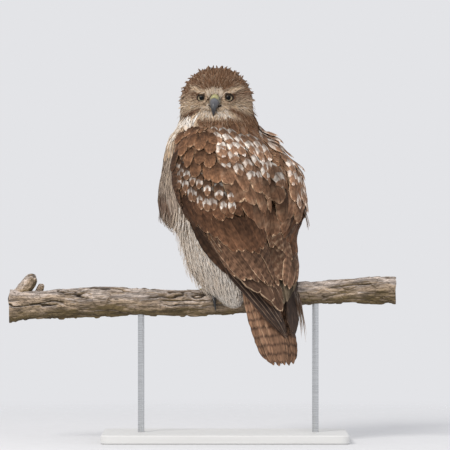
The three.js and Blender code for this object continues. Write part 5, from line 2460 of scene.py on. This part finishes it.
@dataclass(frozen=True)
class Studio:
    """Floor, light and camera."""

    backdrop: Colour = (0.770, 0.775, 0.800)
    floor: Colour = (0.70, 0.70, 0.71)
    floor_radius: float = 1600.0
    fade: Span = (0.55, 1.5)
    aim: tuple[float, float, float] = (0.0, 0.0, 0.36)

    def build(self) -> None:
        """Sets up the studio."""
        scene = bpy.context.scene
        scene.view_settings.view_transform = "Standard"
        self._world(scene)
        self._floor()
        self._light("key", (-1.6, -2.4, 2.6), 1.4, 85.0, (1.0, 0.975, 0.94))
        self._light("fill", (2.4, -1.6, 1.2), 2.0, 14.0, (0.94, 0.97, 1.0))
        self._camera(scene)

    def _world(self, scene: bpy.types.Scene) -> None:
        """Lays an even pale sky.

        Args:
            scene: The scene.
        """
        world = bpy.data.worlds.new("sky")
        scene.world = world
        world.use_nodes = True
        background = world.node_tree.nodes["Background"]
        background.inputs["Color"].default_value = (*self.backdrop, 1)
        background.inputs["Strength"].default_value = 1.0

    def _floor(self) -> None:
        """Lays a round pale floor that fades out before its edge."""
        around, rings = 96, 12
        turn = circle(around)
        rim = np.stack([np.cos(turn), np.sin(turn), 0 * turn], -1)
        radii = np.linspace(0, self.floor_radius, rings + 1)[1:, None, None]
        points = np.concatenate([np.zeros((1, 3)), (radii * rim).reshape(-1, 3)])
        here = 1 + np.arange(rings * around).reshape(rings, around)
        there = np.roll(here, -1, 1)
        tris = np.stack([0 * here[0], here[0], there[0]], -1)
        quads = np.stack([here[:-1], here[1:], there[1:], there[:-1]], -1).reshape(-1, 4)
        finish = Finish("floor", Specular_IOR_Level=0.1)
        nodes = finish.nodes
        place = nodes.place()
        gap = nodes.add("VectorMath", {0: place}, operation="LENGTH").outputs["Value"]
        nodes.put(finish.shader.inputs["Alpha"], nodes.fit(gap, *self.fade, 1.0, 0.0))
        grain = nodes.spread(nodes.noise(place, 30.0, 3.0), 0.99, 1.01)
        material = finish.wire(nodes.shaded(self.floor, grain), 0.9)
        floor = Patch(points, quads, tris).build("floor", material)

    def _light(
        self, name: str, place: Sequence[float], size: float, power: float, colour: Colour
    ) -> None:
        """Hangs an area light that faces the hawk.

        Args:
            name: Its name.
            place: Where it hangs, in metres.
            size: Its width in metres.
            power: Its power in watts.
            colour: Its colour.
        """
        light = bpy.data.lights.new(name, "AREA")
        light.shape = "DISK"
        light.size = size
        light.energy = power
        light.color = colour
        holder = bpy.data.objects.new(name, light)
        holder.location = place
        aim = Vector(self.aim) - Vector(place)
        holder.rotation_euler = aim.to_track_quat("-Z", "Y").to_euler()
        bpy.context.scene.collection.objects.link(holder)

    @staticmethod
    def _camera(scene: bpy.types.Scene) -> None:
        """Sets up the picture's level long view.

        Args:
            scene: The scene.
        """
        camera = bpy.data.cameras.new("camera")
        camera.sensor_width = SENSOR
        camera.lens = SENSOR * CAMERA_REACH / (PICTURE_SIDE * PIXEL)
        camera.clip_end = 100
        holder = bpy.data.objects.new("camera", camera)
        height = (FLOOR_ROW - PICTURE_SIDE / 2) * PIXEL
        holder.location = (0, -CAMERA_REACH * MM, height * MM)
        holder.rotation_euler = (math.pi / 2, 0, 0)
        scene.collection.objects.link(holder)
        scene.camera = holder


SOFT = CoatFinish("soft plumage", contrast=0.12, root_shade=1.0, vary=0.12, depth=0.08)
SCALY = CoatFinish("mantle", 0.62, 0.3, root_shade=0.8, vary=0.3, depth=0.2)
FACE = CoatFinish("face", contrast=0.5, root_shade=0.7, vary=0.4)
SILK = CoatFinish("neck", contrast=0.25, root_shade=0.95, vary=0.25, depth=0.12)
TRACTS = (
    Tract(
        "coat_under_wing", Slot.WING, 8.0, 26, 8.0, (268, 405), (0, 97), sunk=5.0, proud=-4.0,
    ),
    Tract(
        "coat_mantle", Slot.WING, 5.0, 28, 6.6, (404, 500), (0, 108), cut=LOOSE, finish=SCALY,
        proud=1.6, wild=0.16, mottle=0.08,
    ),
    Tract(
        "coat_breast", Slot.BREAST, 2.5, 24, 3.3, (300, 470), (96, 180), off_wing=True,
        cut=DOWN, finish=SOFT, sunk=1.8, wild=0.09, paler=-0.09, grey=0.36,
    ),
    Tract(
        "coat_breast_end", Slot.BREAST, 5.0, 36, 5.0, (346, 384), (116, 180), off_wing=True,
        cut=SHAGGY, finish=SOFT, sunk=1.0, proud=4.0, wild=0.16, paler=-0.09, grey=0.36,
    ),
    Tract(
        "coat_tassels", Slot.BREAST, 4.4, 30, 2.6, (348, 374), (112, 180), off_wing=True,
        cut=WISP, finish=SOFT, sunk=1.0, proud=9.5, wild=0.14, paler=-0.02, grey=0.36,
    ),
    Tract(
        "coat_thigh", Slot.THIGH, 2.5, 30, 3.1, (195, 325), (100, 180), off_wing=True,
        cut=DOWN, finish=SOFT, sunk=1.8, proud=0.7, wild=0.08, mottle=0.05, grey=0.3,
    ),
    Tract(
        "coat_wisps", Slot.THIGH, 4.8, 36, 1.1, (250, 345), (118, 180), off_wing=True,
        cut=WISP, finish=SOFT, sunk=1.0, proud=8.5, wild=0.13, mottle=0.04,
    ),
    Tract(
        "coat_neck", Slot.CROWN, 2.8, 26, 3.8, (458, 512), (70, 180), cut=SHAGGY, finish=SILK,
        sunk=2.5, proud=1.0, wild=0.14, mottle=0.14,
    ),
    Tract(
        "coat_nape_low", Slot.CROWN, 2.6, 18, 2.6, (494, 512), (0, 74), cut=SHAGGY,
        finish=FACE, sunk=2.5, proud=0.8, wild=0.14,
    ),
    Tract(
        "coat_nape", Slot.CROWN, 2.0, 16, 1.8, (507, 600), fronts=(-90, 6), cut=FINE,
        finish=FACE, sunk=2.2, wild=0.1,
    ),
    Tract(
        "coat_crest", Slot.CROWN, 7.0, 19, 2.1, (516, 600), fronts=(-75, 24), cut=SHAGGY,
        finish=FACE, sunk=2.0, proud=5.2, wild=0.26, mottle=0.08,
    ),
    Tract(
        "coat_face", Slot.CROWN, 1.5, 12, 1.3, (496, 600), fronts=(4, 90), cut=FINE,
        finish=FACE, sunk=2.0, wild=0.1,
    ),
)


@dataclass(frozen=True)
class Tuft:
    """Stiff feathers set along a line on both sides of the head.

    line and ways are rows of places and directions in the head's frame for the side with
    positive x; lift is the height at the root, in the middle and at the tip. pale is how pale
    they are, or None for the plumage's own paleness there. stray and wild scatter the roots
    and the ways.
    """

    name: str
    line: Rows
    ways: Rows
    count: int
    length: float
    half: float
    lift: tuple[float, float, float]
    pale: float | None
    stray: float
    wild: float
    cut: Cut = SHAGGY

    def build(self, shell: Shell, seed: int) -> None:
        """Makes both sides as one piece of the coat.

        Args:
            shell: The surface they stand on.
            seed: The seed of their chance.
        """
        rng = np.random.default_rng(seed)
        sides = [self._side(shell, rng, side) for side in (-1, 1)]
        add_piece(Patch.joined(sides), self.name, FACE.material(), Slot.CROWN)

    def _side(self, shell: Shell, rng: np.random.Generator, side: int) -> Patch:
        """The feathers of one side.

        Args:
            shell: The surface they stand on.
            rng: Their chance.
            side: The sign of its x.

        Returns:
            The patch.
        """
        cut, count = self.cut, self.count
        share = rng.random(count)
        mirror = np.array([side, 1, 1])
        path = smooth_rows(self.line, share) * mirror + rng.normal(0, self.stray, (count, 3))
        ways = unit(along_rows(self.ways, share)) * mirror + rng.normal(0, self.wild, path.shape)
        lengths = self.length * rng.uniform(0.7, 1.15, count)
        roots = HEAD.out(path)
        line, out = walked(shell, roots, HEAD.turn(ways), lengths, cut)
        height = np.interp(cut.ways(), [0, 0.5, 1], self.lift) * rng.uniform(0.7, 1.3, (count, 1))
        spine = line + out * height[..., None]
        halves = self.half * rng.uniform(0.8, 1.2, count)
        plumes = Plumes(cut, spine, out, halves, rng.normal(0, 8, count), rng.random(count))
        own = Plumage.pale(line[:, -1]) if self.pale is None else self.pale
        pale = np.clip(rng.normal(own, 0.12, count), -0.4, 0.8)
        return plumes.patch(rng, skin_spots(roots), Plumage.paint(pale))


TUFTS = (
    Tuft(
        "coat_brows",
        ((13, 42, 8.2), (18, 42, 9.4), (25, 40, 11.0), (32, 34, 13.0), (38, 26, 15.5)),
        ((1, 0, 0.3), (1, -0.2, 0.35), (1, -0.5, 0.45), (1, -0.8, 0.5)),
        54, 10.0, 1.0, (0.2, 1.9, 1.4), 0.6, 1.0, 0.2,
    ),
    Tuft(
        "coat_lids",
        ((15.6, 41, 5.4), (15.2, 41, 0.6), (16.9, 40, -3.9), (21.2, 40, -5.6),
         (25.8, 38, -4.2), (28.0, 36, 0.4), (26.8, 38, 5.6), (21.4, 40, 7.8)),
        ((-0.5, 0, 1), (-0.6, 0, 0.1), (-0.3, 0, -0.7), (0.4, 0, -1), (0.8, -0.5, -0.5),
         (1, -0.8, 0.1), (0.8, -0.5, 0.4), (0.5, 0, 0.8)),
        260, 5.0, 0.6, (0.9, 1.5, 1.2), None, 0.3, 0.15,
    ),
    Tuft(
        "coat_bristles", ((0.3, 41, 4.2), (3.5, 41, 4.6), (6.4, 41, 3.0), (8.6, 40, -0.5)),
        ((0.02, 0, 1), (0.3, 0, 1), (0.5, 0, 1), (0.35, 0, 1)),
        60, 12.0, 0.6, (0.0, 2.2, 3.6), 0.8, 0.8, 0.22,
    ),
    Tuft(
        "coat_chin", ((1, 40, -19), (5, 39, -19), (9, 38, -17), (12, 37, -15)),
        ((0.1, 0, -1), (0.4, 0, -1), (0.7, 0, -1), (1, -0.2, -0.6)),
        60, 11.0, 0.8, (0.0, 1.4, 2.0), 0.66, 1.2, 0.22,
    ),
)


class Hawk:
    """The bird: shell, skin, coat, feathers, face and legs."""

    FLESH = (
        "head", "neck", "trunk", "thigh_left", "thigh_right", "wing_left", "wing_right",
        "eye_left", "eye_right",
    )

    def __init__(self) -> None:
        """Closes the CAD's flesh up into one shell."""
        self.shell = Shell(self.FLESH, 3.2, 6)

    def build(self) -> None:
        """Makes every piece of the bird."""
        Skin().build(self.shell)
        for seed, tract in enumerate(TRACTS, 100):
            tract.lay(self.shell, seed)
        for seed, tuft in enumerate(TUFTS, 150):
            tuft.build(self.shell, seed)
        for seed, row in enumerate(ROWS, 200):
            row.lay(self.shell, seed)
        for seed, fan in enumerate(FANS, 300):
            fan.build(seed)
        Face().build()
        scales = ScaleFinish("leg scales", (0.50, 0.42, 0.14), (0.22, 0.17, 0.07)).material()
        horn = HornFinish("claw horn", (0.045, 0.042, 0.042), (0.010, 0.010, 0.011), 0.3).material()
        Leg("left", -1, -21, (-8, -6)).build(scales, horn)
        Leg("right", 1, 29, (4, 2)).build(scales, horn)


def main() -> None:
    """Builds the hawk, its perch and its stand in the studio."""
    logging.basicConfig(level=logging.INFO, format="%(message)s")
    Hawk().build()
    Perch().build()
    Stand().dress()
    Studio().build()


if __name__ == "__main__":
    main()
